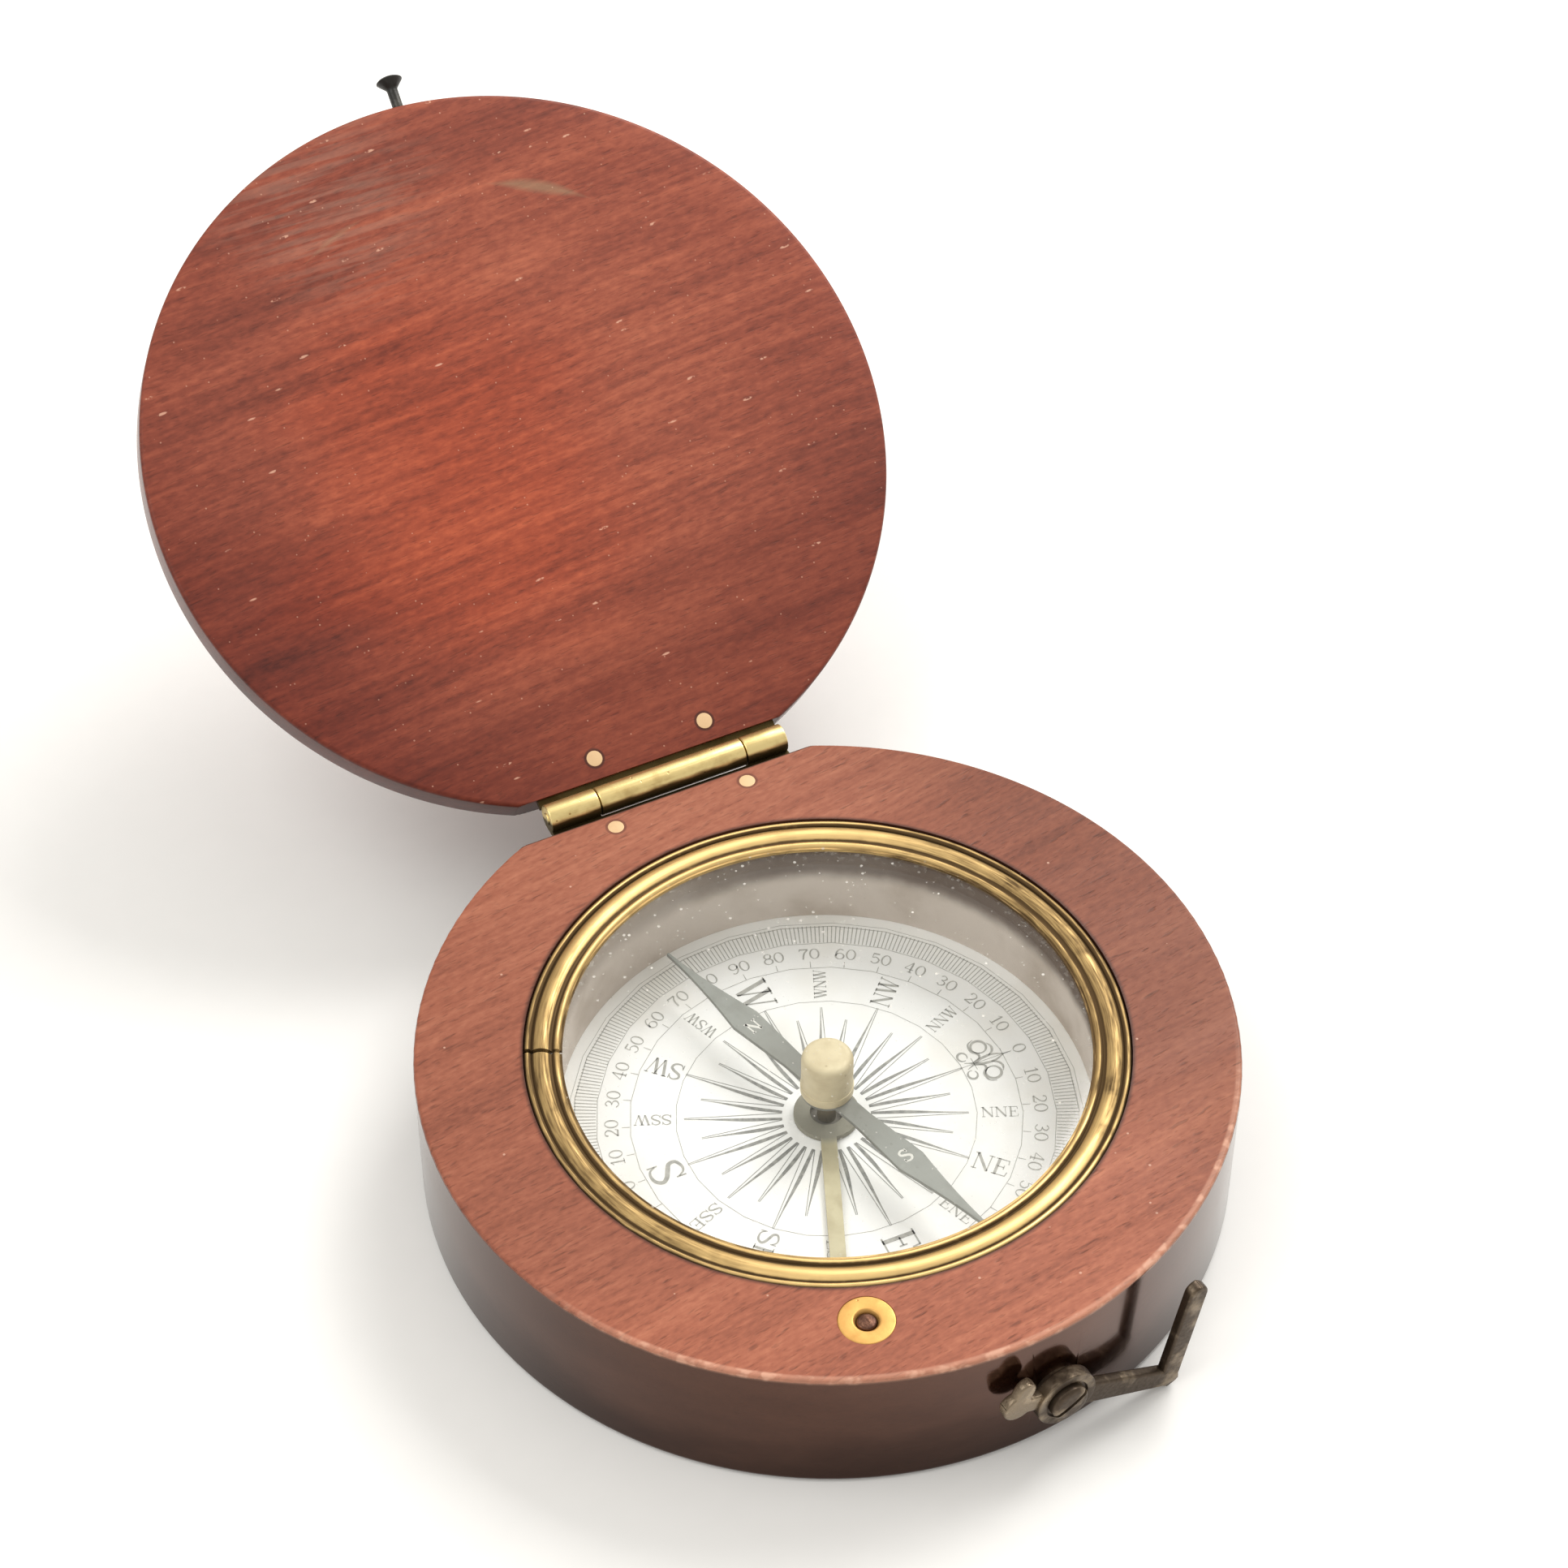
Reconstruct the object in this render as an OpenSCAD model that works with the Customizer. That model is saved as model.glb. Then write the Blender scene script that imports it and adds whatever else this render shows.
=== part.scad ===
// Round box compass. A turned wooden case holds a card, a steel needle on a
// pivot and a glass under a brass bezel. A thin wooden lid is hinged at the
// back, and a swinging hook on the front holds it shut over a flared pin.
// A small button beside the bezel tips a lever that lifts the needle.
// Millimetres. The origin is the centre of the underside, +z is up and the
// hinge is towards +y. The lid is drawn open, as it rests.

/* [Case] */
// Outside diameter of the case
case_d = 82; // [78:0.5:100]
// Height of the case
case_h = 16.3; // [15.2:0.1:20]
// Wood left under the card
case_floor = 4.3; // [3.8:0.1:5]
// Width of the wooden rim round the bowl
rim_w = 12.4; // [12:0.1:14]
// Width of the ledge round the bowl that the glass lies on
seat_ledge = 1.6; // [1.3:0.1:1.8]
// Rounding of the lower edge of the case
foot_round = 0.8; // [0.3:0.1:1.5]
// Rounding of the upper edge of the case
rim_round = 0.4; // [0.1:0.1:0.7]
// Depth of the flat sawn across the back of the case for the hinge
case_flat = 3.7; // [3.4:0.1:4.2]

/* [Lid] */
// How far the edge of the closed lid lies inside the edge of the case
lid_inset = 0.75; // [0.4:0.05:1]
// Thickness of the lid
lid_t = 4.8; // [4.4:0.1:7]
// Rounding of the lid's outer edge
lid_round = 1.4; // [0.5:0.1:2]
// Rounding of the lid's inner edge
lid_inner_round = 0.5; // [0.1:0.1:0.8]
// How far the lid's flat lies behind the case's flat
lid_flat_step = 0.2; // [0:0.05:0.4]
// Space between the closed lid and the case
lid_gap = 0.3; // [0.2:0.05:0.4]
// Angle that the lid stands open from closed
lid_open = 150.1; // [0:0.1:180]

/* [Hinge] */
// Diameter of the hinge barrel
barrel_d = 3; // [2.6:0.1:3.4]
// Length of the hinge
hinge_len = 27.2; // [20:0.2:30]
// Sideways place of the middle of the hinge
hinge_x = 0.7; // [-1:0.1:1]
// Distance from the case's flat to the hinge axis
hinge_back = 2.27; // [2:0.01:2.6]
// Thickness of the hinge leaves
leaf_t = 0.7; // [0.5:0.05:0.8]
// Wood between the leaves and the seat of the glass
leaf_margin = 1.5; // [1.2:0.1:3]
// Length of the left knuckle
knuckle_left = 5.6; // [4:0.1:7]
// Length of the right knuckle
knuckle_right = 4.7; // [4:0.1:7]
// Space between two knuckles
knuckle_gap = 0.12; // [0.08:0.02:0.3]
// Diameter of the hinge wire
hinge_wire_d = 1.3; // [1:0.1:1.5]
// How far the wire stands out at each end of the barrel
hinge_wire_end = 0.1; // [0.05:0.05:0.3]
// Diameter of the brass pins through the leaves
leaf_pin_d = 1.7; // [1.2:0.1:2]
// Distance between the two leaf pins of the case
case_pin_span = 15.1; // [12:0.1:17]
// Distance between the two leaf pins of the lid
lid_pin_span = 12.7; // [10:0.1:15]
// Distance from the case's flat to its leaf pins
case_pin_inset = 1.7; // [1.4:0.1:3]
// Distance from the lid's flat to its leaf pins
lid_pin_inset = 2.4; // [1.6:0.1:3]
// Length of the case's leaf pins
case_pin_len = 6.6; // [3:0.1:9]
// Length of the lid's leaf pins
lid_pin_len = 3.2; // [2.4:0.1:3.8]

/* [Bezel and glass] */
// Width of the bezel from outside to inside
bezel_w = 3.8; // [3.6:0.1:4.2]
// Height of the bezel
bezel_h = 0.8; // [0.7:0.05:1]
// Thickness of the bezel under its grooves
bezel_plate_t = 0.36; // [0.25:0.01:0.4]
// Radius of the thin bead round the outside of the bezel
bezel_edge_bead = 0.36; // [0.3:0.01:0.4]
// Radius of the broad bead of the bezel
bezel_broad_bead = 1.35; // [1:0.05:1.5]
// Distance from the outside of the bezel to its broad bead
bezel_broad_inset = 1.67; // [1.6:0.01:1.8]
// Radius of the thin bead round the inside of the bezel
bezel_lip_bead = 0.42; // [0.3:0.01:0.5]
// Width of the plain lip inside the inner bead
bezel_lip = 0.2; // [0.1:0.05:0.3]
// How far the inner bead lies below the broad bead
bezel_lip_drop = 0.14; // [0.05:0.01:0.2]
// How far the outer bead lies below the broad bead
bezel_edge_drop = 0.04; // [0:0.01:0.1]
// Direction of the split in the bezel
bezel_split_angle = 156.3; // [0:0.1:180]
// Width of the split in the bezel
bezel_split_w = 0.5; // [0.2:0.1:1]
// Thickness of the glass
glass_t = 0.8; // [0.6:0.05:1]
// Wall of the lining ring round the bowl
lining_wall = 1.4; // [1:0.1:1.6]

/* [Card and needle] */
// Thickness of the card
card_t = 0.35; // [0.2:0.05:0.5]
// Height of the needle above the card
needle_rise = 3.9; // [3.4:0.1:4.2]
// Thickness of the needle
needle_t = 0.45; // [0.3:0.05:0.6]
// Space between the needle's tips and the lining ring
needle_end_gap = 2.85; // [1:0.05:5]
// Width of the needle at its shoulders
needle_w = 3.2; // [2.8:0.1:4]
// Width of the needle at its tips
needle_tip_w = 0.3; // [0.2:0.05:0.6]
// Width of the needle beside the cap
needle_waist = 2.2; // [1.8:0.1:2.6]
// Distance from the centre to the waist
needle_waist_at = 5.3; // [4:0.1:7]
// Distance from the centre to the shoulders
needle_shoulder = 12.3; // [9:0.1:14]
// How fast the needle draws in past its shoulders
needle_draw = 1.6; // [1:0.1:2.5]
// Number of steps in the curve of each tip
needle_steps = 6; // [4:1:12]
// Direction in which the north end points at rest
needle_angle = 106.2; // [0:0.1:359]

/* [Cap and pivot] */
// Diameter of the cap
cap_d = 5.4; // [5:0.1:6]
// Height of the cap's collar
cap_collar_h = 1; // [0.6:0.1:1.4]
// Width of the step above the collar
cap_step = 0.15; // [0.1:0.05:0.3]
// Height of the cap's dome
cap_dome = 1.1; // [0.9:0.05:1.2]
// Rounding of the cap's dome
cap_dome_round = 1.05; // [0.5:0.05:1.05]
// Diameter of the neck that is riveted through the needle
cap_neck_d = 3.8; // [3.4:0.1:4.2]
// Diameter of the bore in the cap
cap_bore_d = 2.6; // [2.5:0.1:3]
// How far the cap overhangs the needle's hub
cap_overhang = 0.1; // [0:0.05:0.3]
// Metal and jewel between the pivot's tip and the top of the cap
cap_crown = 1.35; // [1.3:0.05:1.6]
// Height of the jewel
jewel_h = 1; // [0.8:0.1:1.1]
// Depth of the hollow in the jewel
jewel_cup = 0.4; // [0.3:0.05:0.5]
// Width of the hollow in the jewel
jewel_mouth_d = 1.8; // [1.4:0.1:2]
// Diameter of the pivot post
post_d = 1.9; // [1.5:0.1:1.9]
// Wood left under the pivot post
post_root = 2.3; // [1.5:0.1:3]
// Length of the steel point above its post
point_len = 2.9; // [2.4:0.1:3.4]
// Diameter of the steel point
point_d = 0.9; // [0.6:0.05:1]
// Length of the point's taper
point_taper = 1.3; // [0.8:0.1:2]
// Width of the point's tip
point_tip_d = 0.1; // [0.06:0.02:0.2]
// How deep the point is set in its post
point_root = 1.45; // [1:0.05:2]

/* [Needle lifter] */
// Direction of the lifter lever from the centre
lever_angle = -112.8; // [-116:0.1:-110]
// Direction of the button, from the lever's
button_turn = 2.55; // [0:0.05:3]
// Thickness of the lever
lever_t = 0.6; // [0.4:0.05:0.7]
// Width of the lever's arm
lever_w = 1.6; // [1.2:0.1:2]
// Outside diameter of the ring at the lever's inner end
lever_ring_d = 6.7; // [6:0.1:7]
// Diameter of the hole in that ring
lever_bore = 3.4; // [3:0.1:4]
// Width of the lever's eye
lever_eye_w = 3; // [2.4:0.1:3.6]
// Width of the lever's pad under the button
lever_pad_w = 5.8; // [5.2:0.1:6.2]
// How far the pad reaches past the middle of the button
lever_pad_reach = 2.3; // [1.6:0.1:2.6]
// Diameter of the lever's cross pin
lever_pin_d = 1; // [0.8:0.05:1.1]
// How far the cross pin is set in the wood at each end
lever_pin_root = 2; // [1:0.1:3]
// Wood between the seat of the glass and the eyelet
button_margin = 1.1; // [0.8:0.1:1.6]
// Diameter of the button
button_d = 2; // [1.6:0.1:2.2]
// How far the button lies below the top of the case
button_sink = 0.15; // [0.1:0.05:0.4]
// Rounding of the button's top
button_round = 0.29; // [0.1:0.01:0.4]
// Height of the collar's underside above the button's foot
button_collar_up = 1.1; // [1:0.05:1.3]
// Thickness of the button's collar
button_collar_h = 0.7; // [0.5:0.05:0.8]
// How far the button's collar stands out
button_collar_lip = 0.5; // [0.3:0.05:0.6]
// Diameter of the eyelet's flange
eyelet_d = 5.6; // [5:0.1:6]
// Thickness of the eyelet's flange
eyelet_t = 0.5; // [0.3:0.05:0.7]
// Wall of the eyelet's tube
eyelet_wall = 0.7; // [0.5:0.05:0.9]
// Depth of the funnel in the eyelet
eyelet_mouth_h = 0.4; // [0.2:0.05:0.5]
// How far the funnel widens
eyelet_mouth = 0.23; // [0.1:0.01:0.4]
// Depth of the slot under the lever
slot_under = 1.25; // [1:0.05:1.4]
// Height of the slot above the lever's underside
slot_over = 3.05; // [2.8:0.05:3.4]
// Space between the pad's end and the end of the slot
slot_past = 0.8; // [0.5:0.1:1]

/* [Hook and catch] */
// Direction of the hook's screw from the centre
hook_angle = -84.5; // [-90:0.1:-78]
// Height of the hook's screw
hook_z = 7.6; // [7.2:0.1:8.4]
// Thickness of the hook
hook_t = 1.2; // [1:0.1:1.4]
// Width of the hook's bar
hook_w = 2.2; // [1.8:0.1:2.4]
// Angle through which the bar bends at the elbow
hook_bend = 104; // [101:1:108]
// Length of the bent end, from the elbow
hook_end = 12.9; // [10:0.1:14]
// Space between the hook and the table at rest
hook_floor_gap = 0.35; // [0.2:0.05:1]
// Space between the latched hook and the catch pin
hook_slack = 0.3; // [0.2:0.05:0.4]
// Diameter of the hook's eye
eye_d = 6.5; // [6:0.1:7]
// Height of the raised rim round the hook's eye
eye_rim_h = 0.3; // [0.1:0.05:0.5]
// Distance from the screw to the finger tab
tab_reach = 5.7; // [5.3:0.1:5.7]
// Diameter of the finger tab
tab_d = 3.2; // [2.6:0.1:3.2]
// Width of the neck between the eye and the tab
tab_neck_w = 1.9; // [1.4:0.1:2.4]
// Angle by which the tab lies below the arm's line
tab_turn = 6; // [0:1:10]
// Distance from the tab to the end of its lobe
tab_lobe_up = 2.1; // [1.6:0.1:2.4]
// Width of the lobe
tab_lobe_d = 2; // [1.4:0.1:2.4]
// Direction of the lobe, from the arm's
tab_lobe_angle = 90; // [70:1:105]
// Diameter of the washer behind the hook
washer_d = 4.8; // [4.2:0.1:6]
// How far the washer stands off the case
washer_t = 0.6; // [0.4:0.1:0.8]
// How far the washer is let into the case
washer_sink = 0.1; // [0.05:0.05:0.3]
// Diameter of the screw's head
screw_head_d = 4; // [3.4:0.1:4.2]
// Height of the screw's head
screw_head_h = 1.1; // [0.8:0.1:1.4]
// Rounding of the screw's head
screw_head_round = 0.5; // [0.2:0.05:0.7]
// Diameter of the shoulder that the hook turns on
shoulder_d = 2.6; // [2.4:0.1:3]
// Diameter of the screw in the wood
screw_core_d = 1.9; // [1.5:0.1:2.2]
// Length of the screw in the wood
screw_len = 5; // [3.5:0.1:5.5]
// Width of the slot in the screw's head
screw_slot_w = 0.5; // [0.3:0.05:0.7]
// Depth of the slot in the screw's head
screw_slot_h = 0.5; // [0.3:0.05:0.6]
// Angle of the slot at rest
screw_slot_angle = 28; // [0:1:179]
// Direction of the catch pin from the hook's screw, with the lid closed
catch_turn = -2.3; // [-3:0.1:-1.5]
// Diameter of the catch pin's shank
catch_d = 1.2; // [1:0.1:1.4]
// Length of the catch pin in the lid
catch_root = 5; // [3:0.1:8]
// Diameter of the catch pin's flared head
catch_head_d = 3; // [2.4:0.1:3.4]
// Length of the flare
catch_flare = 1; // [0.7:0.1:1.3]
// Height of the catch pin's crown
catch_crown = 0.25; // [0.15:0.05:0.4]
// Diameter of the flat on the crown
catch_crown_d = 2.4; // [1.8:0.1:2.4]

/* [Clearances] */
// Space round a pin that turns in a hole
fit = 0.05; // [0.03:0.01:0.08]
// Space between parts that move past each other
free = 0.3; // [0.25:0.05:0.35]
// Space round the card and the lining ring
drop_in = 0.05; // [0.03:0.01:0.1]
// Space round the bezel
seat_play = 0.1; // [0.05:0.05:0.2]
// Space round the glass
glass_play = 0.2; // [0.1:0.05:0.3]
// Space between the cap and the glass
cap_clear = 0.45; // [0.4:0.05:0.8]
// Space between the card and the lever
lever_lift = 0.1; // [0.05:0.05:0.2]
// Space between the lever and the button at rest
button_rest = 0.05; // [0.02:0.01:0.1]

/* [Hidden] */
$fn = 96;
// extra length of a cutter past the face it cuts
cut = 1;

case_r = case_d / 2;
bowl_r = case_r - rim_w;
lid_r = case_r - lid_inset;
seat_r = bowl_r + seat_ledge;
bezel_r = seat_r - seat_play;
glass_z = case_h - bezel_h - glass_t;
card_top = case_floor + card_t;
card_r = bowl_r - drop_in;
lining_r = bowl_r - drop_in;

// hinge line, and the flats before it
case_flat_y = case_r - case_flat;
lid_flat_y = case_flat_y + lid_flat_step;
hinge_y = case_flat_y + hinge_back;
hinge_z = case_h + lid_gap / 2;
barrel_r = barrel_d / 2;
leaf_low = hinge_z - barrel_r;
leaf_depth = case_flat_y - seat_r - leaf_margin;
lid_z = case_h + lid_gap;
hinge_left = hinge_x - hinge_len / 2;
hinge_right = hinge_x + hinge_len / 2;
hinge_mid = hinge_len - knuckle_left - knuckle_right;

// needle, cap and pivot heights
needle_len = 2 * (lining_r - lining_wall - needle_end_gap);
needle_z = card_top + needle_rise;
cap_z = needle_z + needle_t;
cap_top = glass_z - cap_clear;
cap_upper_r = cap_d / 2 - cap_step;
point_tip = cap_top - cap_crown;
post_top = point_tip - point_len;
jewel_z = point_tip + fit - jewel_cup;
hub_d = cap_d - 2 * cap_overhang;

// lifter lever, its slot and its button
lever_z = card_top + lever_lift;
lever_ring_r = lever_ring_d / 2;
lever_ring_mid = (lever_ring_d + lever_bore) / 4;
lever_pin_r = lever_pin_d / 2;
lever_eye_r = lever_pin_r + lever_t;
lever_pin_z = lever_z + lever_eye_r;
lever_pivot = bowl_r + lever_eye_r + free;
button_angle = lever_angle + button_turn;
button_place = seat_r + button_margin + eyelet_d / 2;
button_r = button_d / 2;
button_low = lever_z + lever_t + button_rest;
button_top = case_h - button_sink;
button_collar_z = button_low + button_collar_up;
lever_pad_end = button_place + lever_pad_reach;
slot_w = lever_pad_w + 2 * free;
slot_start = lining_r - lining_wall / 4;
slot_end = lever_pad_end + slot_past;
slot_low = lever_z - slot_under;
slot_top = lever_z + slot_over;
notch_w = lever_w + 2 * free;
notch_top = lever_z + lever_t + free + lever_pin_d;
lever_pin_len = slot_w + 2 * lever_pin_root;
bush_r = button_r + fit + eyelet_wall;

// hook, its screw and the catch pin; the hook swings in a plane that
// touches the case's side
catch_angle = hook_angle + catch_turn;
catch_z = lid_z + lid_t / 2;
washer_seat = case_r - washer_sink;
hook_in = case_r + washer_t;
hook_out = hook_in + hook_t;
hook_mid = (hook_in + hook_out) / 2;
catch_dx = hook_mid * sin(catch_turn);
catch_dz = catch_z - hook_z;
catch_dist = norm([catch_dx, catch_dz]);
hook_reach = (catch_dist + catch_d / 2 + hook_slack + hook_w / 2) / sin(180 - hook_bend);
hook_droop = asin((hook_z - hook_w / 2 - hook_floor_gap) / hook_reach);
catch_shank = hook_out + free;

// half section of a turned disc with rounded lower and upper edges
module disc_section(r, h, low, high) {
    square([r - low, h - high]);
    translate([0, low]) square([r - high, h - low]);
    translate([0, low]) square([r, h - low - high]);
    translate([r - low, low]) circle(low);
    translate([r - high, h - high]) circle(high);
}

// half section of a round head with a flat foot and a rounded upper edge
module head_section(r, h, round) {
    intersection() {
        square([r, h]);
        union() {
            square([r, h - round]);
            square([r - round, h]);
            translate([r - round, h - round]) circle(round);
        }
    }
}

// everything behind a flat, as a block to cut away
module behind(y, r, h) {
    translate([-r, y, -cut]) cube([2 * r, r, h + 2 * cut]);
}

// puts a child drawn along +x onto a direction round the case
module toward(angle) {
    rotate([0, 0, angle]) children();
}

// carries the lid's pieces from closed to where the lid rests
module as_opened() {
    translate([0, hinge_y, hinge_z])
        rotate([-lid_open, 0, 0])
            translate([0, -hinge_y, -hinge_z]) children();
}

// lays a child drawn in x and z about the hook's screw, its depth along the
// screw, onto the case's side; x then runs to the right as seen from outside
module on_screw() {
    toward(hook_angle) translate([0, 0, hook_z]) rotate([90, 0, 90]) children();
}

// a rod along x between two places
module rod_x(x0, x1, d) {
    translate([x0, 0, 0]) rotate([0, 90, 0]) cylinder(d = d, h = x1 - x0);
}

// one hinge leaf lying flat under its barrel
module leaf_plate() {
    translate([hinge_left, case_flat_y - leaf_depth, leaf_low])
        cube([hinge_len, leaf_depth + hinge_back, leaf_t]);
}

// the part of a leaf's plate that stays beside a stretch of barrel
module leaf_notch(x0, len) {
    translate([x0, case_flat_y + free, leaf_low - cut])
        cube([len, hinge_back + barrel_r, barrel_d + 2 * cut]);
}

// a stretch of the barrel about the hinge line
module knuckle(x0, len) {
    translate([0, hinge_y, hinge_z]) rod_x(x0, x0 + len, barrel_d);
}

// bore for the hinge wire through the whole barrel
module wire_bore(d) {
    translate([0, hinge_y, hinge_z])
        rod_x(hinge_left - cut, hinge_right + cut, d);
}

// two upright pins across the hinge, from the top of the case down; their
// bores go a little past the top
module leaf_pins(span, inset, len, past) {
    for (side = [-1, 1])
        translate([hinge_x + side * span / 2, case_flat_y - inset, case_h - len])
            cylinder(d = leaf_pin_d, h = len + past);
}

module case_leaf_pin_set(past = 0) {
    leaf_pins(case_pin_span, case_pin_inset, case_pin_len, past);
}

// the lid's pins lie in the closed lid, mirrored about the hinge line
module lid_leaf_pin_set(past = 0) {
    inset = case_flat_y - lid_flat_y + lid_pin_inset;
    mirror_lid() leaf_pins(lid_pin_span, inset, lid_pin_len, past);
}

// mirrors a case-side shape into the closed lid
module mirror_lid() {
    translate([0, 0, 2 * hinge_z]) mirror([0, 0, 1]) children();
}

// slot under the rim for the outer end of the lever
module lever_slot() {
    toward(lever_angle)
        translate([slot_start, -slot_w / 2, slot_low])
            cube([slot_end - slot_start, slot_w, slot_top - slot_low]);
}

// the lever's cross pin, along the tangent
module cross_pin(d, len) {
    toward(lever_angle)
        translate([lever_pivot, 0, lever_pin_z])
            rotate([90, 0, 0]) cylinder(d = d, h = len, center = true);
}

module at_button() {
    toward(button_angle) translate([button_place, 0, 0]) children();
}

module case_body() {
    color([0.50, 0.24, 0.18]) difference() {
        rotate_extrude() disc_section(case_r, case_h, foot_round, rim_round);
        behind(case_flat_y, case_r, case_h);
        translate([0, 0, case_floor]) cylinder(r = bowl_r, h = case_h);
        translate([0, 0, glass_z]) cylinder(r = seat_r, h = case_h);
        translate([0, 0, post_root]) cylinder(d = post_d, h = case_h);
        leaf_plate();
        case_leaf_pin_set(cut);
        lever_slot();
        cross_pin(lever_pin_d, lever_pin_len);
        at_button() {
            translate([0, 0, slot_top - cut]) cylinder(r = bush_r, h = case_h);
            translate([0, 0, case_h - eyelet_t]) cylinder(d = eyelet_d, h = case_h);
        }
        on_screw() {
            translate([0, 0, case_r - screw_len]) cylinder(d = screw_core_d, h = case_r);
            translate([0, 0, washer_seat]) cylinder(d = washer_d, h = case_r);
        }
    }
}

module lining_ring() {
    color([0.80, 0.78, 0.74]) difference() {
        translate([0, 0, card_top]) cylinder(r = lining_r, h = glass_z - card_top);
        cylinder(r = lining_r - lining_wall, h = case_h);
        toward(lever_angle)
            translate([lining_r - 2 * lining_wall, -notch_w / 2, card_top - cut])
                cube([3 * lining_wall, notch_w, notch_top - card_top + cut]);
    }
}

module compass_card() {
    color([0.93, 0.92, 0.87]) translate([0, 0, case_floor]) difference() {
        cylinder(r = card_r, h = card_t);
        translate([0, 0, -cut]) cylinder(d = post_d, h = card_t + 2 * cut);
    }
}

module pivot_post() {
    color([0.78, 0.66, 0.35]) difference() {
        translate([0, 0, post_root]) cylinder(d = post_d, h = post_top - post_root);
        translate([0, 0, post_top - point_root]) cylinder(d = point_d, h = point_root + cut);
    }
}

module pivot_point() {
    straight = point_root + point_len - point_taper;
    color([0.60, 0.60, 0.62]) translate([0, 0, post_top - point_root]) {
        cylinder(d = point_d, h = straight);
        translate([0, 0, straight])
            cylinder(d1 = point_d, d2 = point_tip_d, h = point_taper);
    }
}

module glass() {
    color([0.85, 0.92, 0.92, 0.35])
        translate([0, 0, glass_z]) cylinder(r = seat_r - glass_play, h = glass_t);
}

// moulded section of the bezel: a thin outer bead, a broad bead and a thin
// inner bead that dips towards the glass
module bezel_section() {
    inner = bezel_r - bezel_w;
    intersection() {
        translate([inner, 0]) square([bezel_w, bezel_h]);
        union() {
            translate([inner, 0]) square([bezel_w, bezel_plate_t]);
            translate([bezel_r - bezel_edge_bead, bezel_h - bezel_edge_bead - bezel_edge_drop])
                circle(bezel_edge_bead);
            translate([bezel_r - 2 * bezel_edge_bead, 0])
                square([2 * bezel_edge_bead, bezel_h - bezel_edge_bead]);
            translate([bezel_r - bezel_broad_inset, bezel_h - bezel_broad_bead])
                circle(bezel_broad_bead);
            translate([inner + bezel_lip_bead + bezel_lip, bezel_h - bezel_lip_bead - bezel_lip_drop])
                circle(bezel_lip_bead);
        }
    }
}

module bezel_ring() {
    color([0.80, 0.64, 0.28]) difference() {
        translate([0, 0, glass_z + glass_t]) rotate_extrude() bezel_section();
        toward(bezel_split_angle)
            translate([bezel_r - bezel_w - cut, -bezel_split_w / 2, glass_z])
                cube([bezel_w + 2 * cut, bezel_split_w, case_h]);
    }
}

module lock_eyelet() {
    bore = button_r + fit;
    color([0.88, 0.72, 0.32]) at_button() difference() {
        union() {
            translate([0, 0, case_h - eyelet_t]) cylinder(d = eyelet_d, h = eyelet_t);
            translate([0, 0, slot_top]) cylinder(r = bush_r, h = case_h - slot_top);
        }
        cylinder(r = bore, h = case_h + cut);
        translate([0, 0, case_h - eyelet_mouth_h])
            cylinder(r1 = bore, r2 = bore + eyelet_mouth, h = eyelet_mouth_h);
        translate([0, 0, case_h]) cylinder(r = bore + eyelet_mouth, h = cut);
    }
}

module lever_pin() {
    color([0.55, 0.55, 0.57]) cross_pin(lever_pin_d, lever_pin_len);
}

module case_hinge_leaf() {
    color([0.80, 0.64, 0.28]) difference() {
        union() {
            difference() {
                leaf_plate();
                leaf_notch(hinge_left + knuckle_left, hinge_mid);
            }
            knuckle(hinge_left, knuckle_left);
            knuckle(hinge_left + knuckle_left + hinge_mid, knuckle_right);
        }
        wire_bore(hinge_wire_d);
        case_leaf_pin_set(cut);
    }
}

module case_leaf_pins() {
    color([0.88, 0.74, 0.42]) case_leaf_pin_set();
}

module hinge_wire() {
    color([0.70, 0.56, 0.26])
        translate([0, hinge_y, hinge_z])
            rod_x(hinge_left - hinge_wire_end, hinge_right + hinge_wire_end, hinge_wire_d);
}

module hook_washer() {
    color([0.42, 0.38, 0.32]) on_screw() difference() {
        translate([0, 0, washer_seat]) cylinder(d = washer_d, h = hook_in - fit - washer_seat);
        cylinder(d = shoulder_d, h = case_r * 2);
    }
}

module hook_screw() {
    color([0.30, 0.27, 0.24]) on_screw() difference() {
        union() {
            translate([0, 0, case_r - screw_len]) cylinder(d = screw_core_d, h = screw_len);
            translate([0, 0, washer_seat])
                cylinder(d = shoulder_d, h = hook_out + fit - washer_seat);
            translate([0, 0, hook_out + fit]) rotate_extrude()
                head_section(screw_head_d / 2, screw_head_h, screw_head_round);
        }
        rotate([0, 0, screw_slot_angle])
            translate([-screw_head_d, -screw_slot_w / 2, hook_out + fit + screw_head_h - screw_slot_h])
                cube([2 * screw_head_d, screw_slot_w, screw_head_h]);
    }
}

module lid_panel() {
    color([0.52, 0.20, 0.14]) as_opened() difference() {
        translate([0, 0, lid_z])
            rotate_extrude() disc_section(lid_r, lid_t, lid_inner_round, lid_round);
        translate([0, 0, lid_z]) behind(lid_flat_y, lid_r, lid_t);
        mirror_lid() leaf_plate();
        lid_leaf_pin_set(cut);
        toward(catch_angle) translate([0, 0, catch_z]) rod_x(lid_r - catch_root, lid_r + cut, catch_d);
    }
}

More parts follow.
